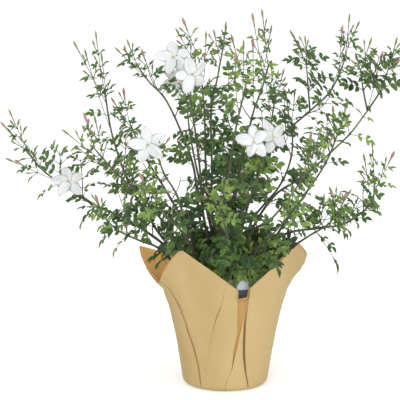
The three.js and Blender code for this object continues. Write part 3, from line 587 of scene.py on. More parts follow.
# ---------- Leafy stems ----------
# Slender green vines that grow out of the soil, branch and arch over under their own weight. Each carries
# opposite pairs of compound leaves, glossy and dark, paler towards its tip, and ends in buds, green and pink.
# Every stem is drawn as one skeleton of strands and points, which geometry nodes thicken and clothe.
STEMS = [
    {
        "name": "stem_far_left", "foot": (-38, 3),
        "route": [
            (-74, 2, 168), (-120, 0, 200), (-161, 5, 218), (-192, 8, 238), (-220, 10, 258),
            (-237, 10, 280),
        ],
        "buds": [(-260, 10, 333), (-270, 8, 318), (-248, 0, 302), (-265, 5, 274)],
        "blooms": [((-186, -26, 250), (-0.1, -0.85, 0.5), 0.62)],
    },
    {
        "name": "stem_left_mid", "foot": (-33, -14),
        "route": [(-72, -40, 201), (-106, -60, 245), (-129, -65, 268), (-151, -68, 294)],
        "buds": [(-164, -70, 338), (-152, -72, 336), (-190, -66, 318), (-176, -74, 300)],
    },
    {
        "name": "stem_left_tall", "foot": (-27, 8),
        "route": [(-74, 15, 171), (-102, 25, 213), (-117, 30, 237), (-137, 35, 295), (-147, 40, 352)],
        "buds": [(-157, 42, 424), (-184, 38, 412), (-150, 36, 398), (-171, 46, 402)],
    },
    {
        "name": "stem_left_front", "foot": (-20, -24),
        "route": [(-43, -50, 191), (-57, -80, 242), (-71, -95, 269), (-78, -105, 291)],
        "buds": [(-72, -112, 318)],
        "blooms": [((-89, -116, 306), (-0.15, -0.95, 0.2), 0.85)],
    },
    {
        "name": "stem_top_left", "foot": (-17, 17),
        "route": [
            (-31, 30, 193), (-38, 50, 251), (-51, 62, 290), (-73, 72, 336), (-93, 78, 357),
            (-106, 82, 374),
        ],
        "buds": [(-122, 88, 411), (-137, 84, 401), (-104, 92, 398)],
    },
    {
        "name": "stem_bloom_top", "foot": (-12, -10),
        "route": [(-27, -30, 211), (-31, -55, 268), (-38, -75, 327), (-43, -82, 353)],
        "buds": [(-36, -88, 402)],
        "blooms": [((-61, -88, 401), (-0.25, -0.9, 0.3), 1), ((-40, -104, 384), (0.2, -0.95, -0.15), 0.9)],
    },
    {
        "name": "stem_centre", "foot": (-6, 3),
        "route": [(-20, 5, 204), (-24, 0, 260), (-26, -10, 333), (-32, -15, 393)],
        "buds": [(-52, -20, 443), (-60, -18, 431), (-24, -22, 428)],
    },
    {
        "name": "stem_centre_back", "foot": (-2, 30),
        "route": [(-16, 60, 194), (-16, 90, 246), (-17, 115, 319), (-9, 125, 358), (-2, 130, 396)],
        "buds": [(2, 135, 430), (-14, 138, 420)],
    },
    {
        "name": "stem_top", "foot": (6, -4),
        "route": [
            (2, -10, 207), (11, -15, 238), (25, -25, 305), (32, -28, 335), (41, -30, 360),
            (48, -32, 386),
        ],
        "buds": [(40, -33, 454), (29, -30, 449), (52, -36, 436), (30, -38, 420)],
    },
    {
        "name": "stem_centre_front", "foot": (-3, -25),
        "route": [(-5, -60, 210), (1, -85, 262), (9, -100, 321), (20, -108, 372)],
        "buds": [(3, -116, 430), (17, -114, 424), (8, -122, 410)],
    },
    {
        "name": "stem_right_tall", "foot": (14, 14),
        "route": [
            (6, 25, 201), (26, 40, 252), (62, 50, 289), (104, 60, 324), (126, 64, 344), (138, 66, 364),
            (146, 68, 385),
        ],
        "buds": [(152, 72, 443), (143, 66, 430), (165, 75, 434)],
        "shoots": [
            {
                "route": [(104, 60, 324), (101, 62, 359), (99, 63, 385)],
                "buds": [(97, 66, 417), (78, 60, 424), (88, 56, 408)],
            },
        ],
    },
    {
        "name": "stem_right_arch", "foot": (26, -3),
        "route": [
            (29, -15, 184), (57, -30, 234), (91, -40, 259), (131, -48, 298), (145, -50, 313),
            (162, -52, 337),
        ],
        "buds": [(177, -62, 407)],
        "shoots": [
            {
                "route": [(162, -52, 337), (157, -47, 362), (154, -45, 383)],
                "buds": [(167, -42, 422), (148, -40, 404)],
            },
            {
                "route": [(162, -52, 337), (176, -60, 362), (184, -64, 388)],
                "buds": [(193, -66, 424), (199, -58, 398)],
            },
        ],
    },
    {
        "name": "stem_right_low", "foot": (39, -8),
        "route": [
            (56, -20, 172), (74, -28, 189), (118, -35, 197), (137, -38, 201), (156, -40, 213),
            (171, -42, 230), (173, -42, 255),
        ],
        "buds": [(169, -42, 304), (196, -44, 290), (160, -36, 286)],
    },
    {
        "name": "stem_left_low", "foot": (-42, -24),
        "route": [(-78, -30, 169), (-102, -45, 183), (-127, -58, 198), (-142, -66, 215)],
        "buds": [(-152, -74, 244)],
    },
    {
        "name": "stem_right_back", "foot": (27, 22),
        "route": [(31, 60, 181), (69, 80, 228), (84, 90, 266), (84, 95, 308)],
        "buds": [(88, 100, 349), (76, 98, 344)],
    },
    {
        "name": "stem_right_mid", "foot": (19, -22),
        "route": [(27, -60, 193), (49, -90, 216), (72, -110, 249), (89, -120, 279)],
        "buds": [(104, -128, 330), (92, -130, 324), (118, -122, 318)],
    },
    {
        "name": "stem_right_front", "foot": (34, -26),
        "route": [(66, -40, 165), (95, -56, 190), (116, -72, 207), (128, -80, 224)],
        "buds": [(116, -86, 255), (142, -86, 252)],
    },
    {
        "name": "stem_bloom_mid", "foot": (8, -32),
        "route": [(10, -60, 199), (23, -80, 233), (34, -98, 265), (40, -104, 284)],
        "blooms": [((29, -132, 312), (-0.5, -0.8, 0.2), 1), ((50, -112, 315), (0.6, -0.7, 0.3), 1)],
    },
    {
        "name": "stem_back_left", "foot": (-26, 34),
        "route": [(-48, 62, 178), (-76, 96, 222), (-104, 126, 262), (-122, 146, 300)],
        "buds": [(-130, 156, 344), (-146, 150, 332)],
    },
    {
        "name": "stem_back_mid", "foot": (-8, 46),
        "route": [(-20, 78, 186), (-34, 116, 238), (-44, 150, 284), (-48, 168, 322)],
        "buds": [(-40, 178, 364)],
        "blooms": [((-62, 182, 352), (-0.25, 0.9, 0.3), 1)],
    },
    {
        "name": "stem_back_right", "foot": (14, 42),
        "route": [(24, 76, 184), (42, 112, 234), (58, 142, 286), (66, 160, 330)],
        "buds": [(60, 168, 376), (78, 166, 368), (52, 176, 362)],
        "blooms": [((24, 150, 240), (0.1, 0.9, 0.35), 0.5)],
    },
    {
        "name": "stem_back_far_right", "foot": (38, 34),
        "route": [(66, 56, 172), (98, 82, 212), (128, 106, 252), (144, 118, 288)],
        "buds": [(158, 128, 330), (138, 130, 324)],
    },
    {
        "name": "stem_front_left", "foot": (-26, -38),
        "route": [(-44, -74, 188), (-66, -112, 222), (-84, -140, 246)],
        "buds": [(-98, -154, 282), (-82, -160, 276)],
    },
    {
        "name": "stem_front_mid", "foot": (0, -46),
        "route": [(2, -84, 176), (-2, -122, 212), (-10, -152, 240)],
        "buds": [(-6, -166, 280), (-26, -166, 268)],
    },
    {
        "name": "stem_front_right", "foot": (20, -44),
        "route": [(34, -80, 178), (52, -116, 206), (66, -142, 230)],
        "buds": [(72, -156, 268), (86, -150, 256)],
    },
    {
        "name": "stem_back_low", "foot": (7, 53),
        "route": [(6, 92, 172), (4, 130, 204), (-2, 162, 232)],
        "buds": [(-6, 182, 266), (12, 180, 258)],
    },
]
# Low shoots that lean on the pot's rim and hang a few leaves over it: the tips of those of each stem.
LOW_SHOOTS = {
    "stem_front_left": [(-26, -56, 154), (-40, -48, 156)],
    "stem_left_low": [(-54, -34, 156)],
    "stem_front_mid": [(-12, -66, 150), (0, -70, 151), (11, -70, 159)],
    "stem_front_right": [(25, -66, 159), (35, -62, 151), (43, -57, 150)],
    "stem_right_front": [(54, -38, 156)],
}
# Shoots behind the middle, in front of the lower rear bloom: where each starts along its stem, and its tip.
MIDDLE_SHOOTS = {
    "stem_back_right": [(0.3, (8, 116, 256)), (0.3, (22, 112, 238)), (0.35, (14, 118, 272))],
    "stem_back_mid": [(0.35, (0, 122, 250)), (0.3, (6, 108, 244))],
}
BLOOMS = [bloom for stem in STEMS for bloom in stem.get("blooms", [])]
UP = Vector((0, 0, 1))
STEM_STUB, STEM_HOLE_DEPTH = 3, 26
STEM_STEP, SHOOT_STEP, TWIG_STEP = 42, 40, 6  # between the points of a line
FINE = 7  # fine points for each step of a stem's rough line
STEM_RADII, SHOOT_RADII, TWIG_RADII, RIB_RADII = (1.9, 0.95), (1.15, 0.7), (0.75, 0.4), (0.5, 0.26)
NODE_SWELL, NODE_SPAN = 0.22, 3.0
TWIG_REACH, TWIG_REACH_SPREAD = 34, 26
# A twig's two halves: how much each goes along the stem, away from it and up.
TWIG_HALVES = [(0.5, 0.75, 0.15), (0.4, 0.45, 0.5)]
TWIG_TONES = (0.4, 0.9)
TWIG_LEAF_FIRST, TWIG_LEAF_SPACING, TWIG_PAST_LEAF = 12, 11, 3
TWIGS_UP_TO = 0.84  # share of a stem above which it has no twigs
LOW_TWIG_FIRST, LOW_TWIG_SPACING, LOW_TWIGS = 12, 16, 2  # low on each stem, hiding the soil
LOW_TWIG_SPREAD, LOW_TWIG_TONE, LOW_TWIG_LIFT = 60, 0.5, 0.1
LEAF_FIRST, LEAF_FIRST_ON_SHOOT, LEAF_SPACING = 42, 24, 64
LEAF_LAST = 4  # nearest to a stem's end
TIP_PAIRS = (0, 9)  # how far from a stem's end its last pairs of young leaves stand
LEAF_LENGTHS = {"large": 50, "small": 34, "young": 17}
SMALL_LEAVES_FROM, YOUNG_LEAVES_FROM = 0.6, 0.8  # shares of a stem and of a twig
YOUTH_FROM, YOUTH_SPAN, YOUTH_CURVE = 0.55, 0.5, 1.5  # where along a stem leaves turn paler
YOUTH_ON_TWIG, FRESH_MOST, RIB_TONE, SHOOT_TONE = 0.6, 0.6, 0.35, 0.25
LEAF_LIFT, LEAF_LIFT_SPREAD = 58, 18
LEAF_TURN, LEAF_TURN_SPREAD = 90, 30
LEAF_SWINGS = (0, 30, -30, 60, -60, 100, -100)
LEAF_UPWARD, LEAF_TILT = 0.7, 0.8
LEAF_DROOP, LEAF_SHORTEN = 0.26, 0.18
LEAF_SCALE, LEAF_SCALE_SPREAD = 0.88, 0.26
RIB_STEPS = 5
# A leaf's pairs of leaflets, then its end one: share of the leaf's length, leaflet length, leaflet width.
LEAF_PAIRS = {
    "large": ([(0.22, 10, 5.8), (0.46, 11, 6.4), (0.69, 10.5, 6)], (0.77, 13, 6.8)),
    "small": ([(0.32, 8, 4.8), (0.62, 8.5, 5)], (0.72, 10.5, 5.6)),
    "young": ([(0.38, 6, 3)], (0.42, 10.5, 3.7)),
}
LEAFLET_SLANT, LEAFLET_SLANT_SPREAD = 60, 16
# How far leaflets rise, the share of them that hang instead, and how far they roll and nod.
LEAFLET_RAISE, LEAFLET_LOW, LEAFLET_ROLL, LEAFLET_NOD = 0.28, 0.35, 0.7, 0.5
LEAFLET_SCALE, LEAFLET_SCALE_SPREAD = 0.86, 0.24
LEAFLET_TONE_SPREAD = 0.45
BUD_LENGTH, BUD_BOW, BUD_SPACING = 17, 0.12, 0.06
BUD_WIDTH, BUD_FLUSH_SWELL = 2.6, 0.6
BUD_STALK_RADIUS, BUD_STALK_END, BUD_STALK_STEPS, BUD_STALK_TONE = 0.42, 0.525, 8, 0.75
SIDE_BUDS_AT = (4, 6)  # steps along the main bud's stalk
SIDE_BUD_LENGTH, SIDE_BUD_LENGTH_SPREAD, SIDE_BUD_WIDTH = 10, 3, 2.2
SIDE_BUD_REACH, SIDE_BUD_REACH_SPREAD, SIDE_BUD_BOW = 15, 8, 0.08
SIDE_BUD_AHEAD, SIDE_BUD_ASIDE = 0.9, 0.45
BLOOM_TUBE, BLOOM_GAP, BLOOM_STALK_END = 17, 0.3, 8
BLOOM_STALK_RADII, BLOOM_STALK_TONES = (0.7, 0.85, 1.0), (0.8, 0.9, 1.0)
# Kept free of leaves: round a bloom as seen from the front, round its own axis, and ahead of it.
BLOOM_CLEAR, BLOOM_CLEAR_ASIDE, BLOOM_VIEW = 17, 21, 45
SCREEN = 34  # round a bloom that faces backwards, where leaves stand before it
VIEW_SLOPE = 0.17  # how much lower a place looks from the front for each millimetre that it is nearer
# Openings where light shows through the plant from front to back: across, height, half width, half height.
OPENINGS = [
    (-62, 258, 16, 11), (-86, 330, 22, 24), (-58, 312, 9, 7), (-56, 228, 10, 8), (-112, 352, 20, 34),
    (50, 262, 12, 12), (67, 278, 8, 9), (68, 232, 9, 10), (52, 214, 9, 7), (-20, 196, 5, 7), (22, 186, 5, 6),
    (-92, 145, 15, 24), (-118, 154, 22, 14), (-70, 222, 8, 6), (96, 330, 10, 16), (146, 262, 24, 26),
    (24, 330, 6, 9), (-12, 334, 5, 9), (-150, 226, 14, 10), (-21, 268, 4, 7), (-13, 246, 4, 9),
    (29, 213, 8, 7), (-20, 173, 5, 7),
]
GAP_SIZE, GAP_FROM, GAP_ABOVE = 9, 0.42, 185  # small gaps scattered over the plant's middle
MIDDLE_X, MIDDLE_HALF, MIDDLE_TOP = 8, 70, 270  # where the stems crowd together
CENTRE_BARE = 0.9  # share of the possible twigs left out where they do
PAPER_CLEAR, LOW_SHOOT_CLEAR, PAPER_CLEAR_ABOVE = 7, 5, 8
SHOOT_FROM, LOW_SHOOT_RISE, LOW_SHOOT_TONE = 8, 7, 0.7
MIDDLE_SHOOT_RISE, MIDDLE_SHOOT_TONE = 4, 0.2
# Leaves that hang over the rim: how far they turn aside, out and down.
RIM_LEAF_TURNS, RIM_LEAF_OUT, RIM_LEAF_DOWN = (-0.7, 0, 0.7), 0.28, 0.8
RIM_LEAF_CLEAR, RIM_LEAF_LENGTH, RIM_LEAF_TONE = 2.5, 18, 0.6
RIM_LEAVES_TO_SIDE = 0.65  # the rim's left and right ends have none
CAD_LEAF_WITHIN = 0.6  # a leaf whose tip is so near a point of the CAD stands for a CAD leaf
# Added to a seed, so that each kind of growth has draws of its own.
BETWEEN_SEED, LOW_TWIG_SEED, SHOOT_SEED, TWIG_SEED, MIDDLE_SEED, LOW_SEED = 40, 60, 100, 700, 800, 900
STRAND, LEAFLET, END_LEAFLET, BUD = range(4)
SHAPES = ("Leaflet", "End Leaflet", "Bud")


def smooth_line(points, step, fine=1):
    """A smooth line through points. Every `fine`th point of it is a point of the rough line."""
    points = [Vector(p) for p in points]
    rough = max(2, math.floor(line_length(points) / step + 0.5))
    padded = [2 * points[0] - points[1]] + points + [2 * points[-1] - points[-2]]
    line = []
    for k in range(rough * fine + 1):
        place = k / (rough * fine) * (len(points) - 1)
        i = min(int(place), len(points) - 2)
        t = place - i
        p0, p1, p2, p3 = padded[i:i + 4]
        m1, m2 = (p2 - p0) / 2, (p3 - p1) / 2
        line.append(
            (2 * t ** 3 - 3 * t ** 2 + 1) * p1 + (t ** 3 - 2 * t ** 2 + t) * m1
            + (3 * t ** 2 - 2 * t ** 3) * p2 + (t ** 3 - t ** 2) * m2)
    return line


def line_length(line):
    """The length of a line of points."""
    return sum((b - a).length for a, b in zip(line, line[1:]))


def along_line(line, distance):
    """The point at a distance along a line, and the line's direction there."""
    left = distance
    for i, (a, b) in enumerate(zip(line, line[1:])):
        length = (b - a).length
        if left <= length or i == len(line) - 2:
            along = (b - a).normalized()
            return a + along * min(left, length), along
        left -= length


def nearest_on(line, point):
    """The point of a line that is nearest to a point."""
    spots = []
    for a, b in zip(line, line[1:]):
        t = max(0, min(1, (point - a).dot(b - a) / max((b - a).length_squared, 1e-9)))
        spots.append(a.lerp(b, t))
    return min(spots, key=lambda spot: (spot - point).length)


def tapered(ends, share):
    """A value that changes evenly from one end of a line to the other."""
    return ends[0] + (ends[1] - ends[0]) * share


def either_way(seed, n):
    """A repeatable draw from -0.5 to 0.5."""
    return draw(seed, n) - 0.5


class Skeleton:
    """Strands of points joined by edges, and loose points where leaflets, buds and petals go.

    Each point has a kind. A strand's point has a radius, and a loose one has the turn and size of its shape.
    The tone goes from 0 for old growth to 1 for young.
    """

    def __init__(self):
        self.points, self.edges, self.kinds, self.radii = [], [], [], []
        self.turns, self.sizes, self.tones = [], [], []

    def add(self, point, kind, radius=0, turn=(0, 0, 0), size=(0, 0, 0), tone=0):
        self.points.append(point * MM)
        self.kinds.append(kind)
        self.radii.append(radius * MM)
        self.turns.append(turn)
        self.sizes.append([s * MM for s in size])
        self.tones.append(tone)

    def strand(self, points, radii, tones):
        first = len(self.points)
        for point, radius, tone in zip(points, radii, tones):
            self.add(point, STRAND, radius=radius, tone=tone)
        self.edges += [(first + k, first + k + 1) for k in range(len(points) - 1)]

    def place(self, kind, point, along, up, size, tone):
        """A leaflet, bud or petal rooted at a point, lying along a direction with its face towards up."""
        y = along.normalized()
        x = y.cross(up).normalized()
        turn = Matrix((x, y, x.cross(y))).transposed().to_euler()
        self.add(point, kind, turn=turn, size=size, tone=tone)

    def to_object(self, name):
        made = object_of(name, self.points, [])
        made.data.clear_geometry()
        made.data.from_pydata(self.points, self.edges, [])
        for label, values in [("kind", self.kinds), ("radius", self.radii), ("tone", self.tones)]:
            field = made.data.attributes.new(label, "FLOAT", "POINT")
            field.data.foreach_set("value", [float(v) for v in values])
        for label, values in [("turn", self.turns), ("size", self.sizes)]:
            field = made.data.attributes.new(label, "FLOAT_VECTOR", "POINT")
            field.data.foreach_set("vector", [c for v in values for c in v])
        return made


def clothing_tree():
    """Thickens a skeleton's strands and puts a shape on each of its loose points."""
    tree = bpy.data.node_groups.new("Clothed skeleton", "GeometryNodeTree")
    sockets_on(tree, "INPUT", Geometry="Geometry", Sides=("Int", 6), Strand_Material="Material")
    for shape in SHAPES:
        sockets_on(tree, "INPUT", **{shape: "Object", f"{shape} Material": "Material"})
    sockets_on(tree, "OUTPUT", Geometry="Geometry")
    given = tree.nodes.new("NodeGroupInput").outputs

    def field(name, kind="FLOAT"):
        return put(tree, "GeometryNodeInputNamedAttribute", {"data_type": kind}, Name=name).outputs[0]

    def only(value):
        same = {"operation": "EQUAL"}
        node = put(tree, "FunctionNodeCompare", same, A=field("kind"), B=float(value), Epsilon=0.1)
        return node.outputs["Result"]

    strands = put(tree, "GeometryNodeSeparateGeometry", Geometry=given["Geometry"], Selection=only(STRAND))
    curves = put(tree, "GeometryNodeMeshToCurve", Mesh=strands.outputs["Selection"])
    ring = put(tree, "GeometryNodeCurvePrimitiveCircle", Resolution=given["Sides"], Radius=1.0)
    tube = put(tree, "GeometryNodeCurveToMesh", Curve=curves.outputs["Curve"],
               Profile_Curve=ring.outputs["Curve"], Fill_Caps=True, Scale=field("radius"))
    parts = [painted(tree, tube.outputs["Mesh"], given["Strand Material"])]
    turn, size = field("turn", "FLOAT_VECTOR"), field("size", "FLOAT_VECTOR")
    for kind, shape in enumerate(SHAPES, start=LEAFLET):
        parts.append(on_points(tree, given["Geometry"], given[shape], given[f"{shape} Material"],
                               Selection=only(kind), Rotation=turn, Scale=size))
    joined = tree.nodes.new("GeometryNodeJoinGeometry")
    for part in parts:
        tree.links.new(part, joined.inputs["Geometry"])
    return ends_in(tree, Geometry=joined.outputs["Geometry"])


def mapped(made, places):
    """Gives a mesh its own map, from each point's place on it."""
    uv = made.data.uv_layers.new(name="UVMap")
    for loop in made.data.loops:
        uv.data[loop.index].uv = places[loop.vertex_index]
    return uv


def leaf_blade(name, widths, fold, arch, thick):
    """A leaflet 1 long and 1 wide, closed all round: a rib along its middle, folded up and arched over.

    Its upper side has the map's left square and its lower side the one two units to the right.
    """
    vertices, flat = [Vector((0, 0, 0))], [(0.5, 0.0)]
    for t, half in widths:
        z = -arch * t * t
        edge = z + fold * half
        vertices += [Vector(corner) for corner in ((-half, t, edge), (0, t, z + thick), (half, t, edge),
                                                   (0, t, z - thick))]
        flat += [(0.5 - half, t), (0.5, t), (0.5 + half, t), (0.5, t)]
    vertices.append(Vector((0, 1, -arch)))
    flat.append((0.5, 1.0))
    left, rib, right, under = range(4)
    end, last = len(vertices) - 1, len(widths) - 1

    def at(row, k):
        return 1 + 4 * row + k

    def strips(sides):
        """Faces from the leaflet's root to its end, between each side and the next."""
        faces = [(0, at(0, b), at(0, a)) for a, b in sides]
        for row in range(last):
            faces += [(at(row, a), at(row, b), at(row + 1, b), at(row + 1, a)) for a, b in sides]
        return faces + [(at(last, a), at(last, b), end) for a, b in sides]

    upper = strips([(left, rib), (rib, right)])
    made = object_of(name, vertices, upper + strips([(under, left), (right, under)]))
    uv = mapped(made, flat)
    for face in made.data.polygons[len(upper):]:
        for loop in face.loop_indices:
            uv.data[loop].uv.x += 2
    smoothed(made, 60)
    return made


def spindle(name, section, sides):
    """A closed shape turned about Y from (place along it, radius) points, with its map along its length."""
    made = turned(name, [(radius / MM, t / MM) for t, radius in section], sides)
    made.data.transform(Matrix.Rotation(math.radians(-90), 4, "X"))
    mapped(made, [(0.5, vertex.co.y) for vertex in made.data.vertices])
    made.data.shade_smooth()
    return made


def leaf_site(at, along, turn, seed, kind, **more):
    """A place on a line where leaves may grow, with the two directions square to the line there."""
    side = UP.cross(along).normalized()
    return {"at": at, "along": along, "side": side, "rise": side.cross(along), "turn": turn, "seed": seed,
            "kind": kind, **more}


def leaf_sites(line, seed, first, spacing):
    """Where leaves leave a stem's rough line."""
    length = line_length(line)
    sites = []
    for i in range(math.ceil((length - LEAF_LAST - first) / spacing)):
        distance = first + spacing * i
        turn = LEAF_TURN * i + LEAF_TURN_SPREAD * either_way(seed, i + 1)
        kind = "small" if distance > SMALL_LEAVES_FROM * length else "large"
        sites.append(leaf_site(*along_line(line, distance), turn, seed * 53 + i, kind, distance=distance,
                               share=distance / length))
    return sites


def away_from(site, swing):
    """The direction square to the stem in which a site's leaf or twig leaves it."""
    angle = math.radians(site["turn"] + swing)
    return site["side"] * math.cos(angle) + site["rise"] * math.sin(angle)


class Leaf:
    """A compound leaf's rib and the way its face is turned."""

    def __init__(self, site, swing, kind=None):
        seed = site["seed"]
        lift = math.radians(LEAF_LIFT + LEAF_LIFT_SPREAD * either_way(seed, 2))
        self.at, self.seed, self.kind = site["at"], seed, kind or site["kind"]
        self.out = site["along"] * math.cos(lift) + away_from(site, swing) * math.sin(lift)
        tilt = Vector((either_way(seed, 3), either_way(seed, 4), 0))
        light = Vector((self.at.x, self.at.y, 0)).normalized() + UP * LEAF_UPWARD + tilt * LEAF_TILT
        self.across = light.cross(self.out).normalized()
        self.scale = LEAF_SCALE + LEAF_SCALE_SPREAD * draw(seed, 5)
        self.fresh = FRESH_MOST * draw(seed, 6) ** 3
        self.length = LEAF_LENGTHS[self.kind] * self.scale
        self.shift = Vector((0, 0, 0))

    def point(self, share):
        sag = UP * (LEAF_DROOP * self.length * share * share)
        reach = self.out * (self.length * share * (1 - LEAF_SHORTEN * share * share))
        return self.at + reach - sag + self.shift * (1 - share)

    def root_on(self, line):
        self.shift = nearest_on(line, self.at) - self.at

    def draw_on(self, skeleton, tone):
        tone = min(1, tone + self.fresh)
        pairs, (end_from, end_length, end_width) = LEAF_PAIRS[self.kind]
        shares = [k / RIB_STEPS for k in range(RIB_STEPS + 1)]
        radii = [tapered(RIB_RADII, share) for share in shares]
        tones = [tapered((RIB_TONE, 1), tone)] * len(shares)
        skeleton.strand([self.point(end_from * share) for share in shares], radii, tones)
        for index, (share, length, width) in enumerate(pairs):
            for side in (-1, 1):
                self.add_leaflet(skeleton, LEAFLET, share, side, length, width, tone, 2 * index + side)
        self.add_leaflet(skeleton, END_LEAFLET, end_from, 0, end_length, end_width, tone, 9)

    def add_leaflet(self, skeleton, kind, share, side, length, width, tone, n):
        seed = self.seed
        along = (self.point(share + 0.05) - self.point(share - 0.05)).normalized()
        face = along.cross(self.across)
        slant = math.radians(LEAFLET_SLANT + LEAFLET_SLANT_SPREAD * either_way(seed, n + 30)) * side
        away = along * math.cos(slant) + self.across * math.sin(slant)
        away += face * LEAFLET_RAISE * (draw(seed, n + 40) - LEAFLET_LOW)
        lean = self.across * LEAFLET_ROLL * either_way(seed, n + 50)
        lean += along * LEAFLET_NOD * either_way(seed, n + 60)
        grown_to = self.scale * (LEAFLET_SCALE + LEAFLET_SCALE_SPREAD * draw(seed, n + 70))
        size = (width * grown_to, length * grown_to, length * grown_to)
        shade = min(1, max(0, tone + LEAFLET_TONE_SPREAD * either_way(seed, n + 80)))
        skeleton.place(kind, self.point(share), away, face + lean, size, shade)


def solid_leaf_swing(site, corners):
    """How far the CAD leaf at a site was swung, or None where it has none."""
    for swing in LEAF_SWINGS:
        if corners.find(Leaf(site, swing).point(1) * MM)[2] < CAD_LEAF_WITHIN * MM:
            return swing
    return None


def seen_height(spot):
    """How high a place looks from the front."""
    return spot.z + VIEW_SLOPE * spot.y


def in_front_of(away, within):
    """Whether a place, given from another one, stands before it and hides it from the front."""
    return away.y < 0 and math.hypot(away.x, seen_height(away)) < within


def hides_a_bloom(leaf):
    """Whether a leaf comes too near a bloom, or between it and the front."""
    for spot in (leaf.point(0.4), leaf.point(0.75), leaf.point(1.05)):
        for at, face, _ in BLOOMS:
            away, facing = spot - Vector(at), Vector(face).normalized()
            ahead = away.dot(facing)
            aside = (away - facing * ahead).length
            near = aside < BLOOM_CLEAR_ASIDE and -BLOOM_TUBE < ahead < BLOOM_VIEW
            if near or (facing.y < 0 and in_front_of(away, BLOOM_CLEAR)):
                return True
    return False


def screens_a_bloom(spot):
    """Whether a place stands in front of a bloom that faces backwards."""
    return any(face[1] > 0 and in_front_of(spot - Vector(at), SCREEN) for at, face, _ in BLOOMS)


def in_the_middle(spot):
    return abs(spot.x - MIDDLE_X) < MIDDLE_HALF


def crowded(spot):
    """Whether a place lies where the stems stand close together."""
    return in_the_middle(spot) and spot.z < MIDDLE_TOP and not screens_a_bloom(spot)


def in_an_opening(leaf):
    """Whether a leaf would fill a gap between the stems, looked at from the front."""
    for spot in (leaf.point(0.3), leaf.point(0.6), leaf.point(0.95)):
        height = seen_height(spot)
        if any(((spot.x - x) / half) ** 2 + ((height - z) / tall) ** 2 < 1 for x, z, half, tall in OPENINGS):
            return True
        scattered = noise.noise(Vector((spot.x, 0, height)) / GAP_SIZE) > GAP_FROM
        if scattered and height > GAP_ABOVE and in_the_middle(spot):
            return True
    return False


def meets_the_paper(leaf, clear):
    """Whether a leaf would touch the cover or droop in front of it."""
    for share in (0.4, 0.7, 1, 1.15):
        spot = leaf.point(share)
        top, edge = top_edge(math.degrees(math.atan2(spot.y, spot.x)))
        climbed = min(max((spot.z - FOLD_HEIGHT) / (top - FOLD_HEIGHT), 0), 1)
        paper = reading(WALL, spot.z) + (edge - WALL[-1][1]) * climbed ** EDGE_FLARE
        if spot.z < top + PAPER_CLEAR_ABOVE and math.hypot(spot.x, spot.y) > paper - clear:
            return True
    return False


def free(leaf, clear=PAPER_CLEAR):
    """Whether a leaf may stay: clear of blooms and paper, and in no opening unless it screens a bloom."""
    if hides_a_bloom(leaf) or meets_the_paper(leaf, clear):
        return False
    return screens_a_bloom(leaf.point(0.6)) or not in_an_opening(leaf)


def youth(share):
    """How young a leaf is, from 0 to 1, from its share of the way along its stem."""
    return max(0.0, min(1.0, (share - YOUTH_FROM) / YOUTH_SPAN)) ** YOUTH_CURVE


def bud_stalk(skeleton, root, tip, bow, length, width, seed):
    """A thin curved stalk with a bud at its end."""
    side = (tip - root).cross(UP).normalized()
    middle = root.lerp(tip, 0.5) + side * bow * (tip - root).length
    neck = 1 - length / (tip - root).length
    line = []
    for k in range(BUD_STALK_STEPS + 1):
        t = neck * k / BUD_STALK_STEPS
        line.append(root * (1 - t) ** 2 + middle * (2 * t * (1 - t)) + tip * t * t)
    radii = [BUD_STALK_RADIUS] * BUD_STALK_STEPS + [BUD_STALK_END]
    skeleton.strand(line, radii, [BUD_STALK_TONE] * len(line))
    flush = draw(seed, 7) ** 5
    width *= 1 + BUD_FLUSH_SWELL * flush
    skeleton.place(BUD, line[-1], tip - line[-1], UP + side * 0.1, (width, length, width), flush)
    return line


def pair_of_leaves(skeleton, site):
    for swing in (0, 180):
        Leaf(site, swing).draw_on(skeleton, 1)


def bud_cluster(skeleton, line, fine, tip, index, seed):
    """One main bud, smaller ones that share its stalk, and a pair of young leaves where they part."""
    root = nearest_on(fine, along_line(line, line_length(line) * (1 - BUD_SPACING * index))[0])
    bow = BUD_BOW * either_way(seed, index + 20)
    stalk = bud_stalk(skeleton, root, Vector(tip), bow, BUD_LENGTH, BUD_WIDTH, seed + index)
    for k, place in enumerate(SIDE_BUDS_AT):
        at = stalk[place]
        along = (stalk[place + 1] - at).normalized()
        side = along.cross(UP if abs(along.z) < 0.9 else Vector((1, 0, 0))).normalized()
        turn = 2 * math.pi * draw(seed * 7 + index, k + 3)
        away = side * math.cos(turn) + along.cross(side) * math.sin(turn)
        reach = SIDE_BUD_REACH + SIDE_BUD_REACH_SPREAD * draw(seed * 7 + index, k + 5)
        end = at + (along * SIDE_BUD_AHEAD + away * SIDE_BUD_ASIDE).normalized() * reach
        length = SIDE_BUD_LENGTH + SIDE_BUD_LENGTH_SPREAD * draw(seed, k + index)
        bud_stalk(skeleton, at, end, SIDE_BUD_BOW, length, SIDE_BUD_WIDTH, seed * 3 + k + index)
        pair_of_leaves(skeleton, leaf_site(at, along, math.degrees(turn), seed * 31 + index * 5 + k, "young",
                                           side=side, rise=along.cross(side)))


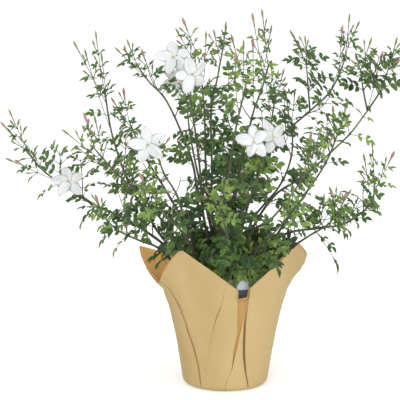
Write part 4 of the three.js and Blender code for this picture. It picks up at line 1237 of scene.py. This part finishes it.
def clothed_shoot(skeleton, route, seed, fresh, clear=PAPER_CLEAR):
    """A thin side shoot with small leaves, as long as its last leaf needs."""
    line = smooth_line(route, TWIG_STEP)
    leaves = []
    for site in leaf_sites(line, seed, TWIG_LEAF_FIRST, TWIG_LEAF_SPACING):
        kind = "young" if site["share"] > YOUNG_LEAVES_FROM else "small"
        tone = fresh + YOUTH_ON_TWIG * youth(site["share"])
        pair = [Leaf(site, swing, kind) for swing in (0, 180)]
        leaves += [(site["distance"], leaf, tone) for leaf in pair if free(leaf, clear)]
    if not leaves:
        return
    grown_to = leaves[-1][0] + TWIG_PAST_LEAF
    line = [point for k, point in enumerate(line) if TWIG_STEP * (k - 1) < grown_to]
    shares = [k / (len(line) - 1) for k in range(len(line))]
    radii, tones = ([tapered(ends, share) for share in shares] for ends in (TWIG_RADII, TWIG_TONES))
    skeleton.strand(line, radii, tones)
    for _, leaf, tone in leaves:
        leaf.root_on(line)
        leaf.draw_on(skeleton, tone)


def leafy_twig(skeleton, site, swing, fine, fresh=0.1, lift=1):
    """A short side shoot in the angle of a leaf."""
    seed = site["seed"] + TWIG_SEED
    away = away_from(site, swing)
    if away.z < -0.1:
        away = -away
    route = [nearest_on(fine, site["at"])]
    half = (TWIG_REACH + TWIG_REACH_SPREAD * draw(seed, 1)) / 2
    for k, (ahead, aside, up) in enumerate(TWIG_HALVES):
        heading = site["along"] * ahead * lift + away * aside + UP * up * (lift if k else 1)
        route.append(route[-1] + heading.normalized() * half)
    clothed_shoot(skeleton, route, seed, fresh)


def swollen(distance, radius, nodes):
    """A stem's radius, a little more where leaves join it."""
    near = min((abs(distance - node) for node in nodes), default=99)
    return radius * (1 + NODE_SWELL * math.exp(-(near / NODE_SPAN) ** 2))


def branch(skeleton, line, fine, radii, first, seed, corners, main):
    """A stem or shoot with its leaves: those of the solid model, their partners, and pairs between them."""
    sites = leaf_sites(line, seed, first, LEAF_SPACING)
    between = leaf_sites(line, seed + BETWEEN_SEED, first + LEAF_SPACING / 2, LEAF_SPACING)
    nodes = [site["distance"] for site in sites + between]
    distances = [0.0]
    for a, b in zip(fine, fine[1:]):
        distances.append(distances[-1] + (b - a).length)
    shares = [distance / distances[-1] for distance in distances]
    thickness = [swollen(d, tapered(radii, share), nodes) for d, share in zip(distances, shares)]
    tones = (0 if main else SHOOT_TONE, 1)
    skeleton.strand(fine, thickness, [tapered(tones, share ** 3) for share in shares])

    def grow(leaf, site, always=False):
        leaf.root_on(fine)
        if always or free(leaf):
            leaf.draw_on(skeleton, youth(site["share"]))

    for site in sites:
        swing = solid_leaf_swing(site, corners)
        if swing is not None:
            grow(Leaf(site, swing), site, always=True)
        grow(Leaf(site, (swing or 0) + 180), site)
    for k, site in enumerate(between):
        for swing in (90, 270)[crowded(site["at"]) and k % 2:]:
            grow(Leaf(site, swing), site)
    for k, site in enumerate(between + sites):
        bare = crowded(site["at"]) and draw(seed, k + 90) < CENTRE_BARE
        if site["share"] < TWIGS_UP_TO and not bare:
            leafy_twig(skeleton, site, 90 + 180 * (k % 2), fine)
        if screens_a_bloom(site["at"]):
            leafy_twig(skeleton, site, 270 - 180 * (k % 2), fine)
    if main:
        low = leaf_sites(line, seed + LOW_TWIG_SEED, STEM_HOLE_DEPTH + LOW_TWIG_FIRST, LOW_TWIG_SPACING)
        for site in low[:LOW_TWIGS]:
            outward = Vector((site["at"].x, site["at"].y, 0))
            swing = math.degrees(math.atan2(outward.dot(site["rise"]), outward.dot(site["side"])))
            swing += LOW_TWIG_SPREAD * either_way(site["seed"], 9) - site["turn"]
            leafy_twig(skeleton, site, swing, fine, LOW_TWIG_TONE, LOW_TWIG_LIFT)
    tip, along = fine[-1], (fine[-1] - fine[-2]).normalized()
    for k, back in enumerate(TIP_PAIRS):
        pair_of_leaves(skeleton, leaf_site(tip - along * back, along, 90 * k, seed * 11 + k, "young"))


def bloom_stalk(skeleton, line, fine, at, face, start):
    facing = Vector(face).normalized()
    root = nearest_on(fine, along_line(line, line_length(line) * start)[0])
    end = Vector(at) - facing * (BLOOM_TUBE + BLOOM_GAP)
    skeleton.strand([root, end - facing * BLOOM_STALK_END, end], BLOOM_STALK_RADII, BLOOM_STALK_TONES)


def low_shoot(skeleton, root, tip, seed):
    """A shoot that leans on the rim, and a few leaves that hang over it."""
    middle = root.lerp(tip, 0.5) + UP * LOW_SHOOT_RISE
    clothed_shoot(skeleton, [root, middle, tip], seed, LOW_SHOOT_TONE, LOW_SHOOT_CLEAR)
    outward = Vector((tip.x, tip.y, 0)).normalized()
    across = UP.cross(outward)
    for turn in RIM_LEAF_TURNS:
        leaf = Leaf(leaf_site(tip, outward, 0, seed * 3 + round(10 * turn), "small"), 0)
        leaf.out = (outward * RIM_LEAF_OUT + across * turn - UP * RIM_LEAF_DOWN).normalized()
        leaf.length = RIM_LEAF_LENGTH
        if abs(outward.x) < RIM_LEAVES_TO_SIDE and free(leaf, RIM_LEAF_CLEAR):
            leaf.draw_on(skeleton, RIM_LEAF_TONE)


def solid_corners(name):
    """The points of a stem's CAD solid, to find its leaves by."""
    vertices = frame["nodes"][name].data.vertices
    corners = kdtree.KDTree(len(vertices))
    for k, vertex in enumerate(vertices):
        corners.insert(vertex.co, k)
    corners.balance()
    return corners


def grow_stem(stem, index):
    skeleton, corners = Skeleton(), solid_corners(stem["name"])
    x, y = stem["foot"]
    below = Vector((x, y, SOIL_TOP - STEM_HOLE_DEPTH + BLOOM_GAP))
    route = [(x, y, SOIL_TOP + STEM_STUB)] + stem["route"]
    main, fine = ([below] + smooth_line(route, STEM_STEP, each) for each in (1, FINE))
    first = STEM_HOLE_DEPTH + LEAF_FIRST
    branch(skeleton, main, fine, STEM_RADII, first, index + 1, corners, True)
    budded = [(main, fine, stem.get("buds", []), index + 1)]
    for k, shoot in enumerate(stem.get("shoots", [])):
        line, fine_line = (smooth_line(shoot["route"], SHOOT_STEP, each) for each in (1, FINE))
        seed = SHOOT_SEED + 3 * index + k
        branch(skeleton, line, fine_line, SHOOT_RADII, LEAF_FIRST_ON_SHOOT, seed, corners, False)
        budded.append((line, fine_line, shoot["buds"], seed))
    for line, fine_line, buds, seed in budded:
        for k, tip in enumerate(buds):
            bud_cluster(skeleton, line, fine_line, tip, k, seed)
    for k, (start, tip) in enumerate(MIDDLE_SHOOTS.get(stem["name"], [])):
        root = nearest_on(fine, along_line(main, start * line_length(main))[0])
        middle = root.lerp(Vector(tip), 0.5) + UP * MIDDLE_SHOOT_RISE
        seed = MIDDLE_SEED + 10 * index + k
        clothed_shoot(skeleton, [root, middle, tip], seed, MIDDLE_SHOOT_TONE)
    for k, tip in enumerate(LOW_SHOOTS.get(stem["name"], [])):
        root = nearest_on(fine, along_line(main, STEM_HOLE_DEPTH + SHOOT_FROM)[0])
        low_shoot(skeleton, root, Vector(tip), LOW_SEED + 10 * index + k)
    for at, face, start in stem.get("blooms", []):
        bloom_stalk(skeleton, main, fine, at, face, start)
    return skeleton


def own_map(tree):
    """The two directions of a mesh's own map."""
    return put(tree, "ShaderNodeSeparateXYZ", Vector=put(tree, "ShaderNodeUVMap").outputs["UV"]).outputs


def veins_group():
    """A leaf's veins from its map: pale rib and side veins, the swelling between them, and its lower side."""
    group = bpy.data.node_groups.new("Leaf veins", "ShaderNodeTree")
    sockets_on(group, "INPUT", Side_Veins=("Float", 7))
    sockets_on(group, "OUTPUT", Vein="Float", Height="Float", Underside="Float")
    given = group.nodes.new("NodeGroupInput").outputs

    def result(operation, *values):
        return worked_out(group, operation, *values)

    spot = own_map(group)
    under = result("GREATER_THAN", spot["X"], 1.5)
    across = result("SUBTRACT", spot["X"], result("MULTIPLY", under, 2.0))
    off_rib = result("ABSOLUTE", result("SUBTRACT", across, 0.5))
    rib = put(group, "ShaderNodeMapRange", Value=off_rib, From_Max=0.045, To_Min=1.0, To_Max=0.0)
    along = result("MULTIPLY", spot["Y"], given["Side Veins"])
    phase = result("SUBTRACT", along, result("MULTIPLY", off_rib, 4.0))
    wave = result("ABSOLUTE", result("SINE", result("MULTIPLY", phase, math.pi)))
    side = put(group, "ShaderNodeMapRange", Value=wave, From_Max=0.25, To_Min=0.45, To_Max=0.0)
    vein = result("MAXIMUM", rib.outputs["Result"], side.outputs["Result"])
    height = result("SUBTRACT", wave, result("MULTIPLY", rib.outputs["Result"], 1.5))
    return ends_in(group, Vein=vein, Height=height, Underside=under)


def toned(name, old, young, roughness, cloud=60, grain=700, bump=0.15):
    """A mottled material that turns from its old colours to its young ones with the skeleton's tone."""
    material, colour, shader = mottled(name, *old, roughness, cloud, grain, 0.25, bump)
    tree = material.node_tree
    tone = put(tree, "ShaderNodeAttribute", {"attribute_name": "tone"}).outputs["Fac"]
    fresh = grouped(tree, mottle, Dark=(*young[0], 1), Light=(*young[1], 1), Cloud_Scale=cloud,
                    Grain_Scale=grain, Grain_Amount=0.25)
    colour = mixed(tree, tone, colour, fresh.outputs["Colour"])
    feed(tree, colour, shader.inputs["Base Color"])
    return material, tree, colour, shader


def leaf_material(name, old, young, under, vein):
    """A leaf that is glossy and veined above, paler and duller below, and lets some light through."""
    material, tree, colour, shader = toned(name, old, young, 0.36)
    veins = grouped(tree, leaf_veins).outputs
    veined = mixed(tree, worked_out(tree, "MULTIPLY", veins["Vein"], 0.3), colour, vein)
    feed(tree, mixed(tree, veins["Underside"], veined, under), shader.inputs["Base Color"])
    swell = put(tree, "ShaderNodeBump", Strength=0.45, Distance=0.0006, Height=veins["Height"])
    feed(tree, swell.outputs["Normal"], shader.inputs["Normal"])
    shader.inputs["Specular IOR Level"].default_value = 0.25
    see_through(shader, 0.25, (0.5, 1.0, 0.2), 0.001)
    rough = put(tree, "ShaderNodeMapRange", Value=veins["Underside"], To_Min=0.34, To_Max=0.62)
    feed(tree, rough.outputs["Result"], shader.inputs["Roughness"])
    return material


def bud_material():
    """Green buds, some of them flushed pink, in a darker green calyx."""
    bud, tree, colour, shader = toned("bud", ((0.08, 0.115, 0.024), (0.155, 0.19, 0.048)),
                                      ((0.26, 0.115, 0.11), (0.42, 0.21, 0.21)), 0.5)
    calyx = put(tree, "ShaderNodeMapRange", Value=own_map(tree)["Y"], From_Min=0.12, From_Max=0.3)
    feed(tree, mixed(tree, calyx.outputs["Result"], (0.05, 0.1, 0.02), colour), shader.inputs["Base Color"])
    return bud


def clothe(skeleton, name, shapes, materials, **more):
    """A skeleton's finished object, with a shape and a material for each kind of point."""
    made = skeleton.to_object(name)
    painted_with = {f"{part} Material": material for part, material in materials.items()}
    made.data = grown(made, clothing, **shapes, **painted_with, **more)
    return made


def remove_all(shapes):
    for shape in shapes.values():
        bpy.data.objects.remove(shape)


def leafy_stems():
    bark, *_ = toned("vine bark", ((0.022, 0.022, 0.012), (0.05, 0.045, 0.025)),
                     ((0.04, 0.06, 0.016), (0.085, 0.12, 0.03)), 0.6)
    leaf = leaf_material("glossy leaf", ((0.007, 0.021, 0.008), (0.034, 0.076, 0.025)),
                         ((0.10, 0.17, 0.036), (0.205, 0.295, 0.07)),
                         under=(0.085, 0.14, 0.056), vein=(0.12, 0.22, 0.06))
    blade = [(0.06, 0.2), (0.22, 0.41), (0.42, 0.5), (0.64, 0.5), (0.84, 0.36), (0.95, 0.17)]
    end_blade = [(0.08, 0.19), (0.24, 0.42), (0.4, 0.5), (0.6, 0.44), (0.82, 0.22), (0.93, 0.08)]
    bud = [(0, 0), (0, 0.2), (0.08, 0.27), (0.14, 0.22), (0.32, 0.27), (0.52, 0.46), (0.7, 0.48),
           (0.86, 0.28), (1, 0)]
    shapes = {
        "Leaflet": leaf_blade("leaflet", blade, 0.3, 0.16, 0.018),
        "End Leaflet": leaf_blade("end leaflet", end_blade, 0.3, 0.2, 0.016),
        "Bud": spindle("bud", bud, 6),
    }
    materials = {"Strand": bark, "Leaflet": leaf, "End Leaflet": leaf, "Bud": bud_material()}
    for index, stem in enumerate(STEMS):
        skeleton = grow_stem(stem, index)
        stand_in_for(clothe(skeleton, "leafy_" + stem["name"], shapes, materials), "foliage", stem["name"])
    remove_all(shapes)


clothing = clothing_tree()
leaf_veins = veins_group()
leafy_stems()

# ---------- Blooms ----------
# White flowers of five broad, rounded petals that spread flat from a slender tube, flushed pink outside, with
# a small green calyx behind. Each one is a single soft corolla, and its petals twist a little to one side.
PETALS = 5
PETAL_LENGTH, PETAL_WIDTH = 21, 13.8
PETAL_CUP, PETAL_TWIST = 0.2, 0.1
PETAL_ROOT, PETAL_THICK = 0.06, 0.028
PETAL_ROWS, PETAL_COLUMNS = 9, 8
PETAL_SWING, PETAL_RAISE, PETAL_LOW = 0.3, 0.5, 0.35
PETAL_SCALE, PETAL_SCALE_SPREAD, PETAL_BREADTH, PETAL_BREADTH_SPREAD = 0.88, 0.24, 0.9, 0.2
TUBE_RADII = [(0, 0.95), (0.2, 0.85), (0.6, 0.95), (0.88, 1.25), (1, 2.0)]
TUBE_SIDES = 12
CALYX_TEETH, CALYX_TOOTH = 5, (1.1, 3.6, 3.6)
STAMEN = (0.9, 2.8, 0.9)


def petal_height(u, v):
    """How high a petal's middle layer lies: cupped, twisted, waved and grooved along its middle."""
    reach = math.hypot(v, u * PETAL_WIDTH / PETAL_LENGTH)
    around = math.atan2(-u * PETAL_WIDTH, max(v, 0.01) * PETAL_LENGTH)
    rise = PETAL_CUP * (0.4 - reach * reach) + PETAL_TWIST * reach * math.sin(PETALS * around)
    wave = 0.016 * math.sin(9 * u + 4 * v) * v
    groove = -0.03 * math.exp(-(u / 0.09) ** 2) * math.sin(math.pi * min(v, 1))
    return rise + wave + groove


def petal_blade(name):
    """A petal 1 long and 1 wide, closed all round."""
    rows, columns = PETAL_ROWS, PETAL_COLUMNS
    vertices, flat = [], []
    for side in (0.5, -0.5):
        for row in range(rows + 1):
            t = PETAL_ROOT + (1 - PETAL_ROOT) * row / rows
            half = 0.5 * math.sin(math.pi * min(1, 0.10 + 0.90 * t ** 1.15)) ** 0.55
            for column in range(columns + 1):
                share = 2 * column / columns - 1
                u = half * share
                v = t - 0.10 * (2 * u) ** 2 * t
                edge = min(1, 3.2 * (1 - abs(share))) * min(1, 4 * (1 - t) + 0.1)
                vertices.append(Vector((u, v, petal_height(u, v) + side * PETAL_THICK * edge)))
                flat.append((0.5 + u, t))
    across = columns + 1
    under = across * (rows + 1)
    faces = []
    for a in (row * across + column for row in range(rows) for column in range(columns)):
        faces.append((a, a + 1, a + across + 1, a + across))
        faces.append((under + a, under + a + across, under + a + across + 1, under + a + 1))
    edge = [row * across for row in range(rows + 1)] + [rows * across + c for c in range(1, columns + 1)]
    edge += [row * across + columns for row in range(rows - 1, -1, -1)] + [*range(columns - 1, 0, -1)]
    faces += [(a, b, under + b, under + a) for a, b in zip(edge, edge[1:] + edge[:1])]
    made = object_of(name, vertices, faces)
    mapped(made, flat)
    shell = bmesh.new()
    shell.from_mesh(made.data)
    bmesh.ops.remove_doubles(shell, verts=shell.verts, dist=1e-6)
    bmesh.ops.recalc_face_normals(shell, faces=shell.faces)
    shell.to_mesh(made.data)
    shell.free()
    made.data.shade_smooth()
    return made


def bloom_skeleton(at, face, turn):
    throat, facing = Vector(at), Vector(face).normalized()
    across = facing.cross(UP).normalized()
    other = facing.cross(across)
    back = throat - facing * BLOOM_TUBE
    skeleton = Skeleton()
    shares, radii = zip(*TUBE_RADII)
    skeleton.strand([back.lerp(throat, share) for share in shares], radii, [1 - share for share in shares])

    def aside(angle):
        return across * math.cos(angle) + other * math.sin(angle)

    for k in range(PETALS):
        away = aside(2 * math.pi * k / PETALS + PETAL_SWING * either_way(turn, k + 20))
        along = away + facing * PETAL_RAISE * (draw(turn, k + 30) - PETAL_LOW)
        length = PETAL_LENGTH * (PETAL_SCALE + PETAL_SCALE_SPREAD * draw(turn, k + 40))
        width = PETAL_WIDTH * (PETAL_BREADTH + PETAL_BREADTH_SPREAD * draw(turn, k + 50))
        skeleton.place(LEAFLET, throat, along, facing, (width, length, length), draw(turn, k))
    for k in range(CALYX_TEETH):
        away = aside(2 * math.pi * (k + 0.5) / CALYX_TEETH)
        skeleton.place(END_LEAFLET, back + away * 0.8, facing + away * 0.25, away, CALYX_TOOTH, 0)
    for away in (-across, across):
        skeleton.place(BUD, throat - facing * 1.6 + away * 0.5, facing + away * 0.12, away, STAMEN, 0)
    return skeleton


def petal_material():
    """White with fine lines along it, and a little green at its throat."""
    white = ((0.47, 0.48, 0.475), (0.57, 0.58, 0.58))
    material, colour, shader = mottled("white petal", *white, 0.6, 40, 900, 0.15, 0.1)
    tree = material.node_tree
    spot = own_map(tree)
    throat = put(tree, "ShaderNodeMapRange", Value=spot["Y"], From_Min=0.04, From_Max=0.16).outputs["Result"]
    feed(tree, mixed(tree, throat, (0.50, 0.53, 0.40), colour), shader.inputs["Base Color"])
    ribs = worked_out(tree, "SINE", worked_out(tree, "MULTIPLY", spot["X"], 75.0))
    soft = put(tree, "ShaderNodeBump", Strength=0.2, Distance=0.0003, Height=ribs)
    feed(tree, soft.outputs["Normal"], shader.inputs["Normal"])
    return material


def blooms():
    tube, *_ = toned("flushed tube", ((0.66, 0.64, 0.60), (0.72, 0.70, 0.66)),
                     ((0.5, 0.42, 0.24), (0.62, 0.42, 0.36)), 0.5)
    green, *_ = mottled("calyx", (0.07, 0.14, 0.03), (0.12, 0.22, 0.05), 0.5)
    anther, *_ = mottled("anther", (0.55, 0.45, 0.16), (0.7, 0.6, 0.26), 0.8)
    stamen = [(0, 0), (0.02, 0.2), (0.5, 0.22), (0.6, 0.5), (0.9, 0.5), (1, 0)]
    shapes = {
        "Leaflet": petal_blade("petal"),
        "End Leaflet": leaf_blade("calyx tooth", [(0.15, 0.45), (0.55, 0.35)], 0.1, 0.05, 0.06),
        "Bud": spindle("stamen", stamen, 6),
    }
    materials = {"Strand": tube, "Leaflet": petal_material(), "End Leaflet": green, "Bud": anther}
    for k, (at, face, _) in enumerate(BLOOMS, start=1):
        bloom = clothe(bloom_skeleton(at, face, k), f"white_bloom_{k}", shapes, materials, Sides=TUBE_SIDES)
        stand_in_for(bloom, "petal", f"bloom_{k}")
    remove_all(shapes)


blooms()

# ---------- Studio ----------
# A plain pale floor that runs out to a white background, broad soft lights from the front and both sides, and
# the camera, which looks down a little.
FLOOR_HALF, FLOOR_DROP = 30, 0.0005
FLOOR_WHITE, FLOOR_GLOW, WORLD_LIGHT = 0.8, 0.25, 1.04
# Each lamp, aimed at the middle of the plant: its place, size and power.
LAMPS = {
    "key": ((-0.9, -1.8, 1.9), 1.8, 14),
    "front": ((-0.2, -2.0, 0.6), 1.2, 14),
    "fill": ((1.6, -1.3, 1.0), 1.6, 11),
}
LAMPS_AIM = Vector((0, 0, 0.2))
EYE = Vector((-31, -1772.7, 536.1)) * MM
TARGET = Vector((-31, 0, 223.5)) * MM
LENS, SENSOR = 135, 36


def aimed(name, data, place, target):
    """A lamp or camera at a place, looking at a target."""
    made = linked(bpy.data.objects.new(name, data))
    made.location = place
    made.rotation_euler = (target - place).to_track_quat("-Z", "Y").to_euler()
    return made


def pale_floor():
    corners = [(-1, -1), (1, -1), (1, 1), (-1, 1)]
    vertices = [(x * FLOOR_HALF, y * FLOOR_HALF, -FLOOR_DROP) for x, y in corners]
    floor = object_of("floor", vertices, [(0, 1, 2, 3)])
    pale = bpy.data.materials.new("pale floor")
    pale.use_nodes = True
    shader = pale.node_tree.nodes["Principled BSDF"].inputs
    shader["Base Color"].default_value = (FLOOR_WHITE, FLOOR_WHITE, FLOOR_WHITE, 1)
    shader["Roughness"].default_value = 0.9
    shader["Emission Color"].default_value = (1, 1, 1, 1)
    shader["Emission Strength"].default_value = FLOOR_GLOW
    floor.data.materials.append(pale)


def studio():
    pale_floor()
    scene = bpy.context.scene
    scene.world = bpy.data.worlds.new("white studio")
    scene.world.use_nodes = True
    background = scene.world.node_tree.nodes["Background"].inputs
    background["Color"].default_value = (1, 1, 1, 1)
    background["Strength"].default_value = WORLD_LIGHT
    scene.view_settings.view_transform = "Standard"
    for name, (place, size, watts) in LAMPS.items():
        lamp = bpy.data.lights.new(name, "AREA")
        lamp.shape, lamp.size, lamp.energy = "DISK", size, watts
        aimed(name, lamp, Vector(place), LAMPS_AIM)
    lens = bpy.data.cameras.new("camera")
    lens.lens, lens.sensor_width = LENS, SENSOR
    scene.camera = aimed("camera", lens, EYE, TARGET)


studio()
